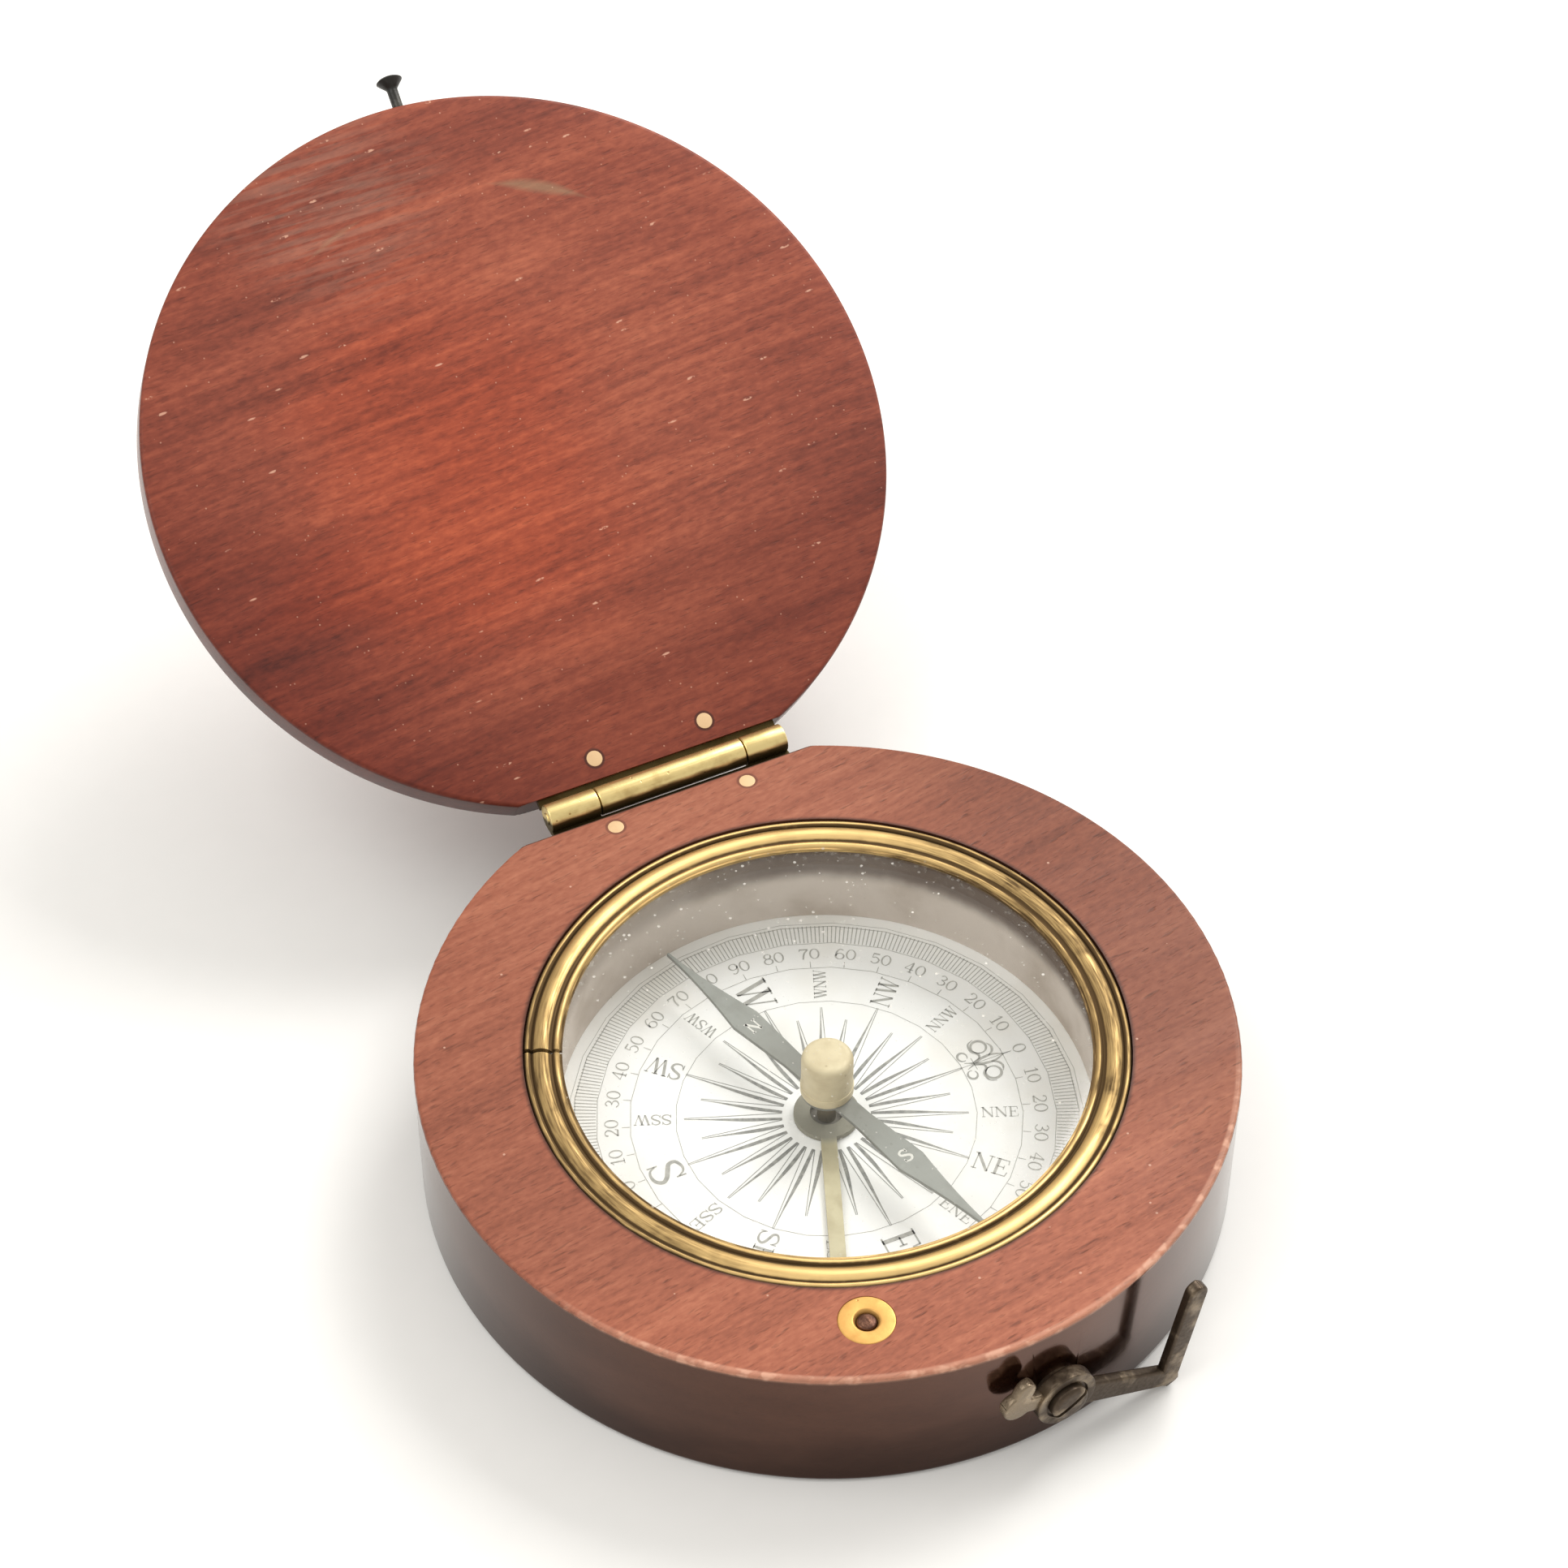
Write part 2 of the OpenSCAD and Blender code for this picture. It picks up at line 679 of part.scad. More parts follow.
module lid_hinge_leaf() {
    gap = knuckle_gap;
    color([0.80, 0.64, 0.28]) as_opened() difference() {
        union() {
            mirror_lid() difference() {
                leaf_plate();
                leaf_notch(hinge_left - cut, knuckle_left + cut + gap);
                leaf_notch(hinge_left + knuckle_left + hinge_mid - gap, knuckle_right + cut + gap);
            }
            knuckle(hinge_left + knuckle_left + gap, hinge_mid - 2 * gap);
        }
        wire_bore(hinge_wire_d + 2 * fit);
        lid_leaf_pin_set(cut);
    }
}

module lid_leaf_pins() {
    color([0.88, 0.74, 0.42]) as_opened() lid_leaf_pin_set();
}

module catch_pin() {
    color([0.32, 0.31, 0.29]) as_opened()
        toward(catch_angle) translate([0, 0, catch_z]) rotate([0, 90, 0]) {
            translate([0, 0, lid_r - catch_root])
                cylinder(d = catch_d, h = catch_shank - lid_r + catch_root);
            translate([0, 0, catch_shank])
                cylinder(d1 = catch_d, d2 = catch_head_d, h = catch_flare);
            translate([0, 0, catch_shank + catch_flare])
                cylinder(d1 = catch_head_d, d2 = catch_crown_d, h = catch_crown);
        }
}

// half width of the needle past its shoulder; it draws in fast at first
// and then runs out in a long slender tip
function tip_half(u) =
    needle_tip_w / 2 + (needle_w - needle_tip_w) / 2 * pow(1 - u, needle_draw);

// one side of one arm of the needle, from beside the cap to the tip
function needle_side() = concat(
    [[needle_waist_at, needle_waist / 2]],
    [for (i = [0 : needle_steps])
        let (u = i / needle_steps)
        [needle_shoulder + u * (needle_len / 2 - needle_shoulder), tip_half(u)]]
);

// the four sides of the needle joined into one outline
module needle_outline() {
    side = needle_side();
    n = len(side) - 1;
    polygon(concat(
        side,
        [for (i = [n : -1 : 0]) [side[i][0], -side[i][1]]],
        [for (i = [0 : n]) [-side[i][0], -side[i][1]]],
        [for (i = [n : -1 : 0]) [-side[i][0], side[i][1]]]
    ));
}

module needle() {
    color([0.62, 0.63, 0.64]) toward(needle_angle) translate([0, 0, needle_z]) difference() {
        union() {
            linear_extrude(needle_t) needle_outline();
            cylinder(d = hub_d, h = needle_t);
        }
        translate([0, 0, -cut]) cylinder(d = cap_neck_d, h = needle_t + 2 * cut);
    }
}

module needle_cap() {
    dome_z = cap_top - cap_dome;
    color([0.86, 0.78, 0.50]) difference() {
        union() {
            translate([0, 0, needle_z]) cylinder(d = cap_neck_d, h = needle_t);
            translate([0, 0, cap_z]) cylinder(d = cap_d, h = cap_collar_h);
            translate([0, 0, cap_z + cap_collar_h])
                cylinder(r = cap_upper_r, h = dome_z - cap_z - cap_collar_h);
            translate([0, 0, dome_z])
                rotate_extrude() head_section(cap_upper_r, cap_dome, cap_dome_round);
        }
        translate([0, 0, needle_z - cut])
            cylinder(d = cap_bore_d, h = jewel_z + jewel_h - needle_z + cut);
    }
}

module cap_jewel() {
    color([0.55, 0.30, 0.20]) translate([0, 0, jewel_z]) difference() {
        cylinder(d = cap_bore_d, h = jewel_h);
        translate([0, 0, -cut])
            cylinder(d1 = jewel_mouth_d * (1 + cut / jewel_cup), d2 = 0, h = jewel_cup + cut);
    }
}

module lock_button() {
    head = 2 * button_round;
    color([0.33, 0.20, 0.14]) at_button() {
        translate([0, 0, button_low + button_r]) {
            sphere(r = button_r);
            cylinder(r = button_r, h = button_top - button_low - button_r - head);
        }
        translate([0, 0, button_top - head])
            rotate_extrude() head_section(button_r, head, button_round);
        translate([0, 0, button_collar_z])
            cylinder(r = button_r + button_collar_lip, h = button_collar_h);
    }
}

module lifter_lever() {
    color([0.84, 0.76, 0.50]) difference() {
        union() {
            translate([0, 0, lever_z]) cylinder(r = lever_ring_r, h = lever_t);
            toward(lever_angle) {
                translate([lever_ring_mid, -lever_w / 2, lever_z])
                    cube([lever_pivot - lever_ring_mid, lever_w, lever_t]);
                translate([lever_pivot, -lever_pad_w / 2, lever_z])
                    cube([lever_pad_end - lever_pivot, lever_pad_w, lever_t]);
            }
            cross_pin(2 * lever_eye_r, lever_eye_w);
        }
        translate([0, 0, lever_z - cut]) cylinder(d = lever_bore, h = lever_t + 2 * cut);
        cross_pin(lever_pin_d + 2 * fit, lever_pin_len);
    }
}

// bar between two points of the hook's plane, with round ends
module bar(a, b, w) {
    d = b - a;
    translate(a) rotate(atan2(d[1], d[0])) translate([0, -w / 2]) square([norm(d), w]);
    translate(a) circle(d = w);
    translate(b) circle(d = w);
}

// outline of the hook about its screw, with the arm along +x
module hook_outline() {
    elbow = [hook_reach, 0];
    tip_run = hook_end - hook_w / 2;
    tip = elbow + tip_run * [cos(hook_bend), sin(hook_bend)];
    tab = -tab_reach * [cos(tab_turn), sin(tab_turn)];
    lobe = tab + tab_lobe_up * [cos(tab_lobe_angle), sin(tab_lobe_angle)];
    bar([0, 0], elbow, hook_w);
    bar(elbow, tip, hook_w);
    circle(d = eye_d);
    bar([0, 0], tab, tab_neck_w);
    translate(tab) circle(d = tab_d);
    bar(tab, lobe, tab_lobe_d);
}

module hook() {
    color([0.40, 0.36, 0.31]) on_screw() rotate([0, 0, -hook_droop]) difference() {
        union() {
            translate([0, 0, hook_in]) linear_extrude(hook_t) hook_outline();
            translate([0, 0, hook_out]) cylinder(d = eye_d, h = eye_rim_h);
        }
        translate([0, 0, hook_in - cut]) cylinder(d = shoulder_d + 2 * fit, h = hook_t + 2 * cut);
        translate([0, 0, hook_out]) cylinder(d = screw_head_d + 2 * free, h = eye_rim_h + cut);
    }
}

case_body();
lining_ring();
compass_card();
pivot_post();
pivot_point();
glass();
bezel_ring();
lock_eyelet();
lever_pin();
case_hinge_leaf();
case_leaf_pins();
hinge_wire();
hook_washer();
hook_screw();
lid_panel();
lid_hinge_leaf();
lid_leaf_pins();
catch_pin();
needle();
needle_cap();
cap_jewel();
lock_button();
lifter_lever();
hook();
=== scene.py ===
"""Looks of a round box compass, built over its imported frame.

The lid, the hinge, the bezel, the cap, the eyelet, the button, the catch pin,
the hook with its screw and washer, the engraved dial and the marks on the
needle are surfaces worked out with numpy. The case, its lining, the needle and
the lever are softened copies of the frame's solids. The rest keeps the frame's
solids. Sizes inside the classes are millimetres in the frame of the part; they
become metres when a mesh is made.
"""

import logging
import math
from dataclasses import dataclass, replace
from enum import Enum
from typing import Any, Mapping, Sequence, Union

import bmesh
import bpy
import numpy as np
from mathutils import Matrix, Vector


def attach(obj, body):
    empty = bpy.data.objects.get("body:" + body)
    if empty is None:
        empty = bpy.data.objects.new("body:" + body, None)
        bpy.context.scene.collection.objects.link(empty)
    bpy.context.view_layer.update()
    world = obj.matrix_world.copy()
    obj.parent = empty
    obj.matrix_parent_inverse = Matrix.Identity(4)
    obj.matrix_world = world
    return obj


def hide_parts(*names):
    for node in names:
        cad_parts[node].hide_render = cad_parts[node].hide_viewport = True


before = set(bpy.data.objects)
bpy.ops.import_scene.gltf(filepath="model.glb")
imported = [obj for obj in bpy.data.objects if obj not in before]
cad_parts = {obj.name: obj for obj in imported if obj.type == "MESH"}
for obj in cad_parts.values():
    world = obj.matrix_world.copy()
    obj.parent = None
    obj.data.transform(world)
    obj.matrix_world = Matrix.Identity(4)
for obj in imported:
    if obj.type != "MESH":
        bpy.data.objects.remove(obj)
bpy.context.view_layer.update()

MM = 0.001
LOG = logging.getLogger("box_compass")
Colour = tuple[float, float, float]
Point = tuple[float, float, float]
Places = tuple[tuple[float, float], ...]
Faces = Union[np.ndarray, list[list[int]]]
Shape = tuple[np.ndarray, Faces]
HINGE_AXIS: Point = (0.0, 0.03957, 0.01645)
LID_SWING = 150.1
CASE_PINS: Places = ((-6.85, 35.6), (8.25, 35.6))
LID_PINS: Places = ((-5.65, 35.1), (7.05, 35.1))
CASE_TOP, LID_INNER = 16.3, 16.6


def srgb(red: int, green: int, blue: int) -> Colour:
    """Linear colour of an sRGB triple.

    Args:
        red: from 0 to 255, as the other two.
        green: the second part.
        blue: the third part.

    Returns:
        The three linear parts, from 0 to 1.
    """
    parts = np.array([red, green, blue]) / 255
    linear = np.where(parts <= 0.04045, parts / 12.92, ((parts + 0.055) / 1.055) ** 2.4)
    return tuple(float(v) for v in linear)


# ---------------------------------------------------------------- shader maths


class Term:
    """One socket of a material that can be used in arithmetic."""

    def __init__(self, graph: "Graph", socket: bpy.types.NodeSocket) -> None:
        """Keeps the socket together with the graph that it belongs to."""
        self.graph = graph
        self.socket = socket

    def __add__(self, other: "Value") -> "Term":
        """This value plus another."""
        return self.graph.math("ADD", self, other)

    def __radd__(self, other: "Value") -> "Term":
        """A number plus this value."""
        return self.graph.math("ADD", other, self)

    def __sub__(self, other: "Value") -> "Term":
        """This value less another."""
        return self.graph.math("SUBTRACT", self, other)

    def __rsub__(self, other: "Value") -> "Term":
        """A number less this value."""
        return self.graph.math("SUBTRACT", other, self)

    def __mul__(self, other: "Value") -> "Term":
        """This value times another."""
        return self.graph.math("MULTIPLY", self, other)

    def __rmul__(self, other: "Value") -> "Term":
        """A number times this value."""
        return self.graph.math("MULTIPLY", other, self)

    def __truediv__(self, other: "Value") -> "Term":
        """This value over another."""
        return self.graph.math("DIVIDE", self, other)

    def __pow__(self, other: "Value") -> "Term":
        """This value raised to another."""
        return self.graph.math("POWER", self, other)


Value = Union[Term, float]


class Graph:
    """The node tree of one material."""

    def __init__(self, name: str) -> None:
        """Starts an empty material.

        Args:
            name: the finish's name.
        """
        self.material = bpy.data.materials.new(name)
        self.material.use_nodes = True
        self.tree = self.material.node_tree
        self.tree.nodes.clear()

    def node(
        self,
        kind: str,
        settings: Mapping[str, Any] | None = None,
        inputs: Mapping[Union[str, int], Any] | None = None,
        output: Union[str, int] = 0,
    ) -> Term:
        """Adds one node; its settings come first, then its sockets.

        Args:
            kind: the node's type.
            settings: attributes of the node; "stops" are a ramp's places and colours.
            inputs: a value or a Term for each named or numbered socket.
            output: which output is handed back.

        Returns:
            The chosen output.
        """
        made = self.tree.nodes.new(kind)
        for key, value in (settings or {}).items():
            if key == "stops":
                self._stops(made, value)
            else:
                setattr(made, key, value)
        for key, value in (inputs or {}).items():
            socket = made.inputs[key]
            if isinstance(value, Term):
                self.tree.links.new(value.socket, socket)
            elif isinstance(value, tuple) and len(socket.default_value) == 4:
                socket.default_value = (*value, 1.0)
            else:
                socket.default_value = value
        return Term(self, made.outputs[output])

    @staticmethod
    def _stops(ramp: bpy.types.Node, stops: Sequence[tuple[float, Colour]]) -> None:
        """Writes a colour ramp's stops.

        Args:
            ramp: the ramp's node.
            stops: places from 0 to 1 and their colours.
        """
        elements = ramp.color_ramp.elements
        while len(elements) < len(stops):
            elements.new(1.0)
        for element, (place, colour) in zip(elements, stops):
            element.position = place
            element.color = (*colour, 1.0)

    def math(self, operation: str, a: Value, b: Value = 0.0) -> Term:
        """A Math node on one or two values."""
        return self.node("ShaderNodeMath", {"operation": operation}, {0: a, 1: b})

    def clamp(self, a: Value) -> Term:
        """A value held between 0 and 1."""
        return self.node("ShaderNodeClamp", inputs={"Value": a})

    def step(self, a: Value, low: float, high: float) -> Term:
        """A smooth step that goes from 0 at low to 1 at high.

        Args:
            a: the value looked at.
            low: where the step starts; it may lie above high.
            high: where the step ends.

        Returns:
            The step, between 0 and 1.
        """
        if low > high:
            return 1.0 - self.step(a, high, low)
        kind = {"interpolation_type": "SMOOTHSTEP"}
        inputs = {"Value": a, "From Min": low, "From Max": high}
        return self.node("ShaderNodeMapRange", kind, inputs)

    def band(self, a: Value, middle: float, half: float, soft: float) -> Term:
        """A mask that is 1 within half of a middle and fades over soft."""
        return self.step(self.math("ABSOLUTE", a - middle), half + soft, half)

    def place(self) -> Term:
        """The point in the frame, in metres."""
        return self.node("ShaderNodeTexCoord", output="Object")

    def mapped(self, point: Term, **inputs: Any) -> Term:
        """A point moved, turned or scaled by a Mapping node."""
        return self.node("ShaderNodeMapping", {"vector_type": "POINT"}, {"Vector": point, **inputs})

    def closed_lid(self) -> Term:
        """The point in the frame of the closed lid.

        It is turned about the X direction through the hinge's axis.

        Returns:
            The turned point.
        """
        turn, centre = math.radians(LID_SWING), Vector(HINGE_AXIS)
        shift = centre - Matrix.Rotation(turn, 3, "X") @ centre
        return self.mapped(self.place(), Location=shift, Rotation=Vector((turn, 0.0, 0.0)))

    def spun(self, point: Term, angle: float) -> Term:
        """A point turned about the upright axis, by an angle in degrees."""
        return self.mapped(point, Rotation=Vector((0.0, 0.0, math.radians(angle))))

    def stretched(self, point: Term, scale: Point) -> Term:
        """A point with each of its parts scaled by itself."""
        return self.mapped(point, Scale=Vector(scale))

    def parts(self, point: Term) -> tuple[Term, Term, Term]:
        """The three parts of a point."""
        outputs = self.node("ShaderNodeSeparateXYZ", inputs={0: point}).socket.node.outputs
        return Term(self, outputs[0]), Term(self, outputs[1]), Term(self, outputs[2])

    def joined(self, x: Value, y: Value, z: Value) -> Term:
        """A point from its three parts."""
        return self.node("ShaderNodeCombineXYZ", inputs={0: x, 1: y, 2: z})

    def moved(self, point: Term, shift: Term) -> Term:
        """The sum of two points."""
        return self.node("ShaderNodeVectorMath", {"operation": "ADD"}, {0: point, 1: shift})

    def noise(self, point: Term, scale: Union[float, Point], detail: float = 2.0) -> Term:
        """Smooth noise about 0.5.

        Args:
            point: the point looked at.
            scale: its waves per metre, in all or in each direction.
            detail: how many finer layers it has.

        Returns:
            The noise.
        """
        if isinstance(scale, tuple):
            point, scale = self.stretched(point, scale), 1.0
        inputs = {"Vector": point, "Scale": scale, "Detail": detail}
        return self.node("ShaderNodeTexNoise", inputs=inputs)

    def specks(self, point: Term, scale: float, size: float, share: float) -> Term:
        """Small round specks.

        Args:
            point: the point looked at.
            scale: how many places there are per metre each way.
            size: a speck's radius as a share of the distance between places.
            share: the share of the places that hold a speck.

        Returns:
            A mask that is 1 on a speck.
        """
        inputs = {"Vector": point, "Scale": scale}
        near = self.node("ShaderNodeTexVoronoi", inputs=inputs, output="Distance")
        pick = self.parts(Term(self, near.socket.node.outputs["Color"]))[0]
        return self.step(near, size, size * 0.6) * self.step(pick, 1.0 - share, 1.0 - share + 0.02)

    def away(self, x: Term, y: Term, centre: tuple[float, float]) -> Term:
        """Distance from an upright line through a centre in millimetres."""
        return self.math("SQRT", (x - centre[0] * MM) ** 2.0 + (y - centre[1] * MM) ** 2.0)

    def radius(self, point: Term) -> Term:
        """Distance of a point from the upright axis."""
        x, y, _ = self.parts(point)
        return self.math("SQRT", x * x + y * y)

    def mix(self, share: Value, a: Any, b: Any, mode: str = "MIX") -> Term:
        """A Mix node on colours."""
        kind = {"data_type": "RGBA", "blend_type": mode, "clamp_factor": True}
        return self.node("ShaderNodeMix", kind, {0: share, 6: a, 7: b}, output=2)

    def tint(self, share: Value, colour: Term, other: Colour) -> Term:
        """A colour that is multiplied by another, by a share."""
        return self.mix(share, colour, self.mix(1.0, colour, other, "MULTIPLY"))

    def ramp(self, value: Value, *stops: tuple[float, Colour]) -> Term:
        """Colours along a value from 0 to 1."""
        return self.node("ShaderNodeValToRGB", {"stops": stops}, {0: value})

    def shade(self, colour: Term, value: Value) -> Term:
        """A colour multiplied by a number."""
        inputs = {0: colour, "Scale": value}
        return self.node("ShaderNodeVectorMath", {"operation": "SCALE"}, inputs)

    def bump(self, height: Value, depth: float) -> Term:
        """A Bump node whose height of 1 is a depth in millimetres."""
        return self.node("ShaderNodeBump", inputs={"Distance": depth * MM, "Height": height})

    def surface(self, **sockets: Any) -> bpy.types.Material:
        """Material of a Principled shader; underscores in names stand for spaces."""
        inputs = {name.replace("_", " "): value for name, value in sockets.items()}
        return self.done(self.node("ShaderNodeBsdfPrincipled", inputs=inputs))

    def blend(self, share: Value, a: Term, b: Term) -> Term:
        """A Mix Shader node."""
        return self.node("ShaderNodeMixShader", inputs={0: share, 1: a, 2: b})

    def done(self, shader: Term) -> bpy.types.Material:
        """Joins a shader to the output.

        Args:
            shader: the shader.

        Returns:
            The finished material.
        """
        out = self.tree.nodes.new("ShaderNodeOutputMaterial")
        self.tree.links.new(shader.socket, out.inputs["Surface"])
        return self.material


# ---------------------------------------------------------------- finishes


@dataclass(frozen=True)
class Finish:
    """What one kind of surface looks like."""

    name: str

    def make(self) -> bpy.types.Material:
        """Builds the material."""
        raise NotImplementedError


@dataclass(frozen=True)
class Mahogany(Finish):
    """Reddish wood with fibres along one direction."""

    dark: Colour
    mid: Colour
    light: Colour
    tilt: float = 0.0
    bands: float = 0.7
    lines: float = 0.9
    fleck: float = 0.4
    pins: Places = ()

    def rims(self, g: Graph, x: Term, y: Term) -> Value:
        """Mask of the dark lines round the hinge's pins."""
        return sum(g.band(g.away(x, y, pin), 0.00096, 0.00007, 0.00016) for pin in self.pins)

    def grain(self, g: Graph, point: Term) -> tuple[Term, Term]:
        """Wood colour and height at a point.

        Args:
            g: the graph.
            point: the point in the frame in which the wood was cut.

        Returns:
            The colour, and a height that falls in the pores.
        """
        along = g.spun(point, -self.tilt)
        drift = (g.noise(along, (16.0, 40.0, 40.0)) - 0.5) * 0.003
        bent = g.moved(along, g.joined(0.0, drift, drift))
        bands = g.noise(bent, (11.0, 190.0, 190.0), 3.0)
        streaks = g.noise(bent, (32.0, 900.0, 900.0), 3.0)
        fibres = g.noise(bent, (500.0, 2300.0, 2300.0), 3.0)
        mottle = g.noise(along, (1100.0, 1900.0, 1900.0), 2.0)
        patches = g.noise(along, (22.0, 46.0, 46.0))
        tone = 0.5 + (bands - 0.5) * self.bands + (streaks - 0.5) * self.lines
        tone = tone + (fibres - 0.5) * 0.6 + (mottle - 0.5) * 0.5 + (patches - 0.5) * 0.6
        colour = g.ramp(g.clamp(tone), (0.0, self.dark), (0.5, self.mid), (1.0, self.light))
        pores = g.step(g.noise(bent, (700.0, 4200.0, 4200.0), 1.0), 0.60, 0.72)
        flecks = g.step(g.noise(bent, (420.0, 2200.0, 2200.0), 1.0), 0.63, 0.74)
        marks = g.clamp(pores * 0.35 + flecks * self.fleck)
        return g.mix(marks, colour, g.shade(colour, 0.4)), fibres * 0.4 - marks


@dataclass(frozen=True)
class LidWood(Mahogany):
    """Wood of the lid: satin inside with rub marks of the bezel, polished outside."""

    def make(self) -> bpy.types.Material:
        """Builds the material.

        Returns:
            The material.
        """
        g = Graph(self.name)
        closed = g.closed_lid()
        colour, height = self.grain(g, closed)
        x, y, z = g.parts(closed)
        radius = g.radius(closed)
        outside = g.step(z, 0.0167, 0.0171)
        inner = 1.0 - outside
        cloud = g.noise(closed, (30.0, 60.0, 60.0), 3.0) - 0.5
        # Darker and greyer towards the rim, the lower side and the left: partly wax haze on the
        # wood, partly painted shade.
        rim = g.step(radius + cloud * 0.02, 0.016, 0.042)
        low = g.step(y + x * 0.35 + cloud * 0.012, 0.012, 0.036)
        left = g.step(x + y * -0.45 + cloud * 0.02, -0.016, -0.042) * g.step(y, -0.020, 0.012)
        for share, other in (
            (rim * 0.7, srgb(224, 208, 208)),
            (low * 0.75, srgb(204, 184, 178)),
            (left * 0.8, srgb(196, 158, 148)),
        ):
            colour = g.tint(share, colour, other)
        # A warmer, brighter patch in the middle of the inner face: the wood's own tone, with a
        # painted sheen.
        warm_tone_and_sheen = g.step(g.away(x, y * 0.75, (-7.0, 2.0)) + cloud * 0.03, 0.026, 0.002) * inner
        glow = g.mix(1.0, g.shade(colour, 1.2), srgb(255, 216, 184), "MULTIPLY")
        veil = g.step(g.away(x, y, (-10.0, -33.0)) + cloud * 0.016, 0.017, 0.003)
        threads = g.noise(closed, (90.0, 1500.0, 1500.0), 3.0)
        rub = self.rub(g, radius, g.math("ARCTAN2", y, x)) * inner
        along = g.stretched(g.spun(closed, -self.tilt), (0.34, 1.3, 1.3))
        tufts = g.step(g.noise(closed, 1800.0, 2.0), 0.42, 0.56)
        dust = g.specks(along, 700.0, 0.16, 0.18) * inner * tufts
        powder = g.specks(closed, 2100.0, 0.24, 0.05) * inner
        for share, other in (
            (warm_tone_and_sheen * 0.8, glow),
            (veil * g.step(threads, 0.40, 0.62) * 0.26, srgb(158, 128, 112)),
            (g.clamp(rub * (0.35 + threads * 0.5)), srgb(146, 118, 92)),
            (g.clamp(dust * 0.6 + powder * 0.35), srgb(226, 176, 150)),
        ):
            colour = g.mix(share, colour, other)
        colour = g.tint(outside, colour, srgb(190, 170, 160))
        colour = g.mix(self.rims(g, x, y) * inner * 0.7, colour, srgb(48, 26, 18))
        # The sawn flat by the hinge is near black: dark dirt on it, and painted shade of the
        # hinge's gap.
        sawn = g.step(y, 0.03725, 0.03745)
        colour = g.mix(sawn * (0.9 - outside * 0.45), colour, srgb(34, 22, 17))
        shine = 0.48 + (g.noise(closed, (60.0, 200.0, 200.0)) - 0.5) * 0.2 + rub * 0.2
        return g.surface(
            Base_Color=colour,
            Roughness=g.clamp(shine),
            Specular_IOR_Level=0.28,
            Coat_Weight=outside * (1.0 - sawn) * 0.4,
            Coat_Roughness=0.12,
            Normal=g.bump(height, 0.02),
        )

    @staticmethod
    def rub(g: Graph, radius: Term, angle: Term) -> Term:
        """Mask of the two marks that the bezel has rubbed.

        Args:
            g: the graph.
            radius: distance from the lid's axis.
            angle: direction from it.

        Returns:
            The mask, which swells and narrows along the bezel's bead.
        """
        swell = g.step(g.math("ABSOLUTE", angle - math.radians(-64.5)), 0.24, 0.02)
        faint = g.step(g.math("ABSOLUTE", angle - math.radians(-111.0)), 0.20, 0.02) * 0.45
        across = g.math("ABSOLUTE", radius - 0.02975)
        return g.clamp((swell + faint) * 1.4 - across * 1500.0)


@dataclass(frozen=True)
class CaseWood(Mahogany):
    """Wood of the case: satin on top, dark and highly polished round its side."""

    def make(self) -> bpy.types.Material:
        """Builds the material.

        Returns:
            The material.
        """
        g = Graph(self.name)
        point = g.place()
        colour, height = self.grain(g, point)
        x, y, z = g.parts(point)
        radius = g.radius(point)
        # Painted shade: the right of the top, and all of it but the front, are darkened to take
        # down the key lamp's sheen.
        colour = g.tint(g.step(x, 0.010, 0.034), colour, srgb(220, 216, 210))
        away = g.step(y - radius * 0.2, -0.034, -0.018)
        colour = g.tint(away * 0.8, colour, srgb(228, 230, 234))
        side = g.step(z, 0.0162, 0.0158) * g.step(radius, 0.036, 0.037)
        side = g.clamp(side + g.step(z, 0.0012, 0.0006))
        smoke = g.noise(point, (90.0, 90.0, 220.0), 3.0)
        dark = g.mix(smoke, srgb(62, 37, 26), srgb(90, 59, 44))
        colour = g.mix(side, colour, g.mix(0.94, colour, dark))
        # Painted shade: towards the floor the side darkens and its coat thins, for the floor's
        # shade seen in its polish.
        low = g.step(z + (smoke - 0.5) * 0.004, 0.010, 0.0)
        colour = g.mix(side * low * 0.8, colour, g.shade(colour, 0.35))
        # Painted shade: the wood in the narrow gap round the bezel's foot is made near black.
        gap = g.step(radius, 0.0307, 0.0301) * g.step(z, 0.0120, 0.0150)
        # The sawn flat by the hinge is darkened, more towards its top: dirt on it, and painted
        # shade of the hinge's gap.
        sawn = g.step(y, 0.0371, 0.0373)
        # A pale line along the front of the top edge: a painted highlight, uneven where the edge is
        # worn.
        lip_highlight = g.band(radius, 0.0407, 0.0002, 0.0003) * g.step(z, 0.0156, 0.0161)
        lip_highlight = lip_highlight * g.step(y, -0.012, -0.030)
        wear_and_glint = 0.3 + g.step(g.noise(point, 700.0), 0.5, 0.66) * 0.4
        crumbs = g.specks(point, 900.0, 0.15, 0.07) * (1.0 - side)
        for share, other in (
            (self.rims(g, x, y) * (1.0 - side) * 0.5, srgb(70, 38, 28)),
            (gap * 0.85, srgb(36, 20, 14)),
            (sawn * (0.35 + g.step(z, 0.008, 0.0135) * 0.5), srgb(34, 22, 17)),
            (lip_highlight * wear_and_glint, srgb(226, 176, 150)),
            (crumbs * 0.5, srgb(226, 186, 164)),
        ):
            colour = g.mix(share, colour, other)
        polish = side * (1.0 - sawn)
        matt = g.clamp(0.44 + (g.noise(point, (60.0, 200.0, 200.0)) - 0.5) * 0.2)
        return g.surface(
            Base_Color=colour,
            Metallic=polish * 0.9,
            Roughness=matt + polish * (0.10 + smoke * 0.08 - matt),
            Specular_IOR_Level=0.26,
            Coat_Weight=polish * (0.3 - low * 0.2),
            Coat_Roughness=0.08,
            Normal=g.bump(height * (1.0 - side * 0.8), 0.025),
        )


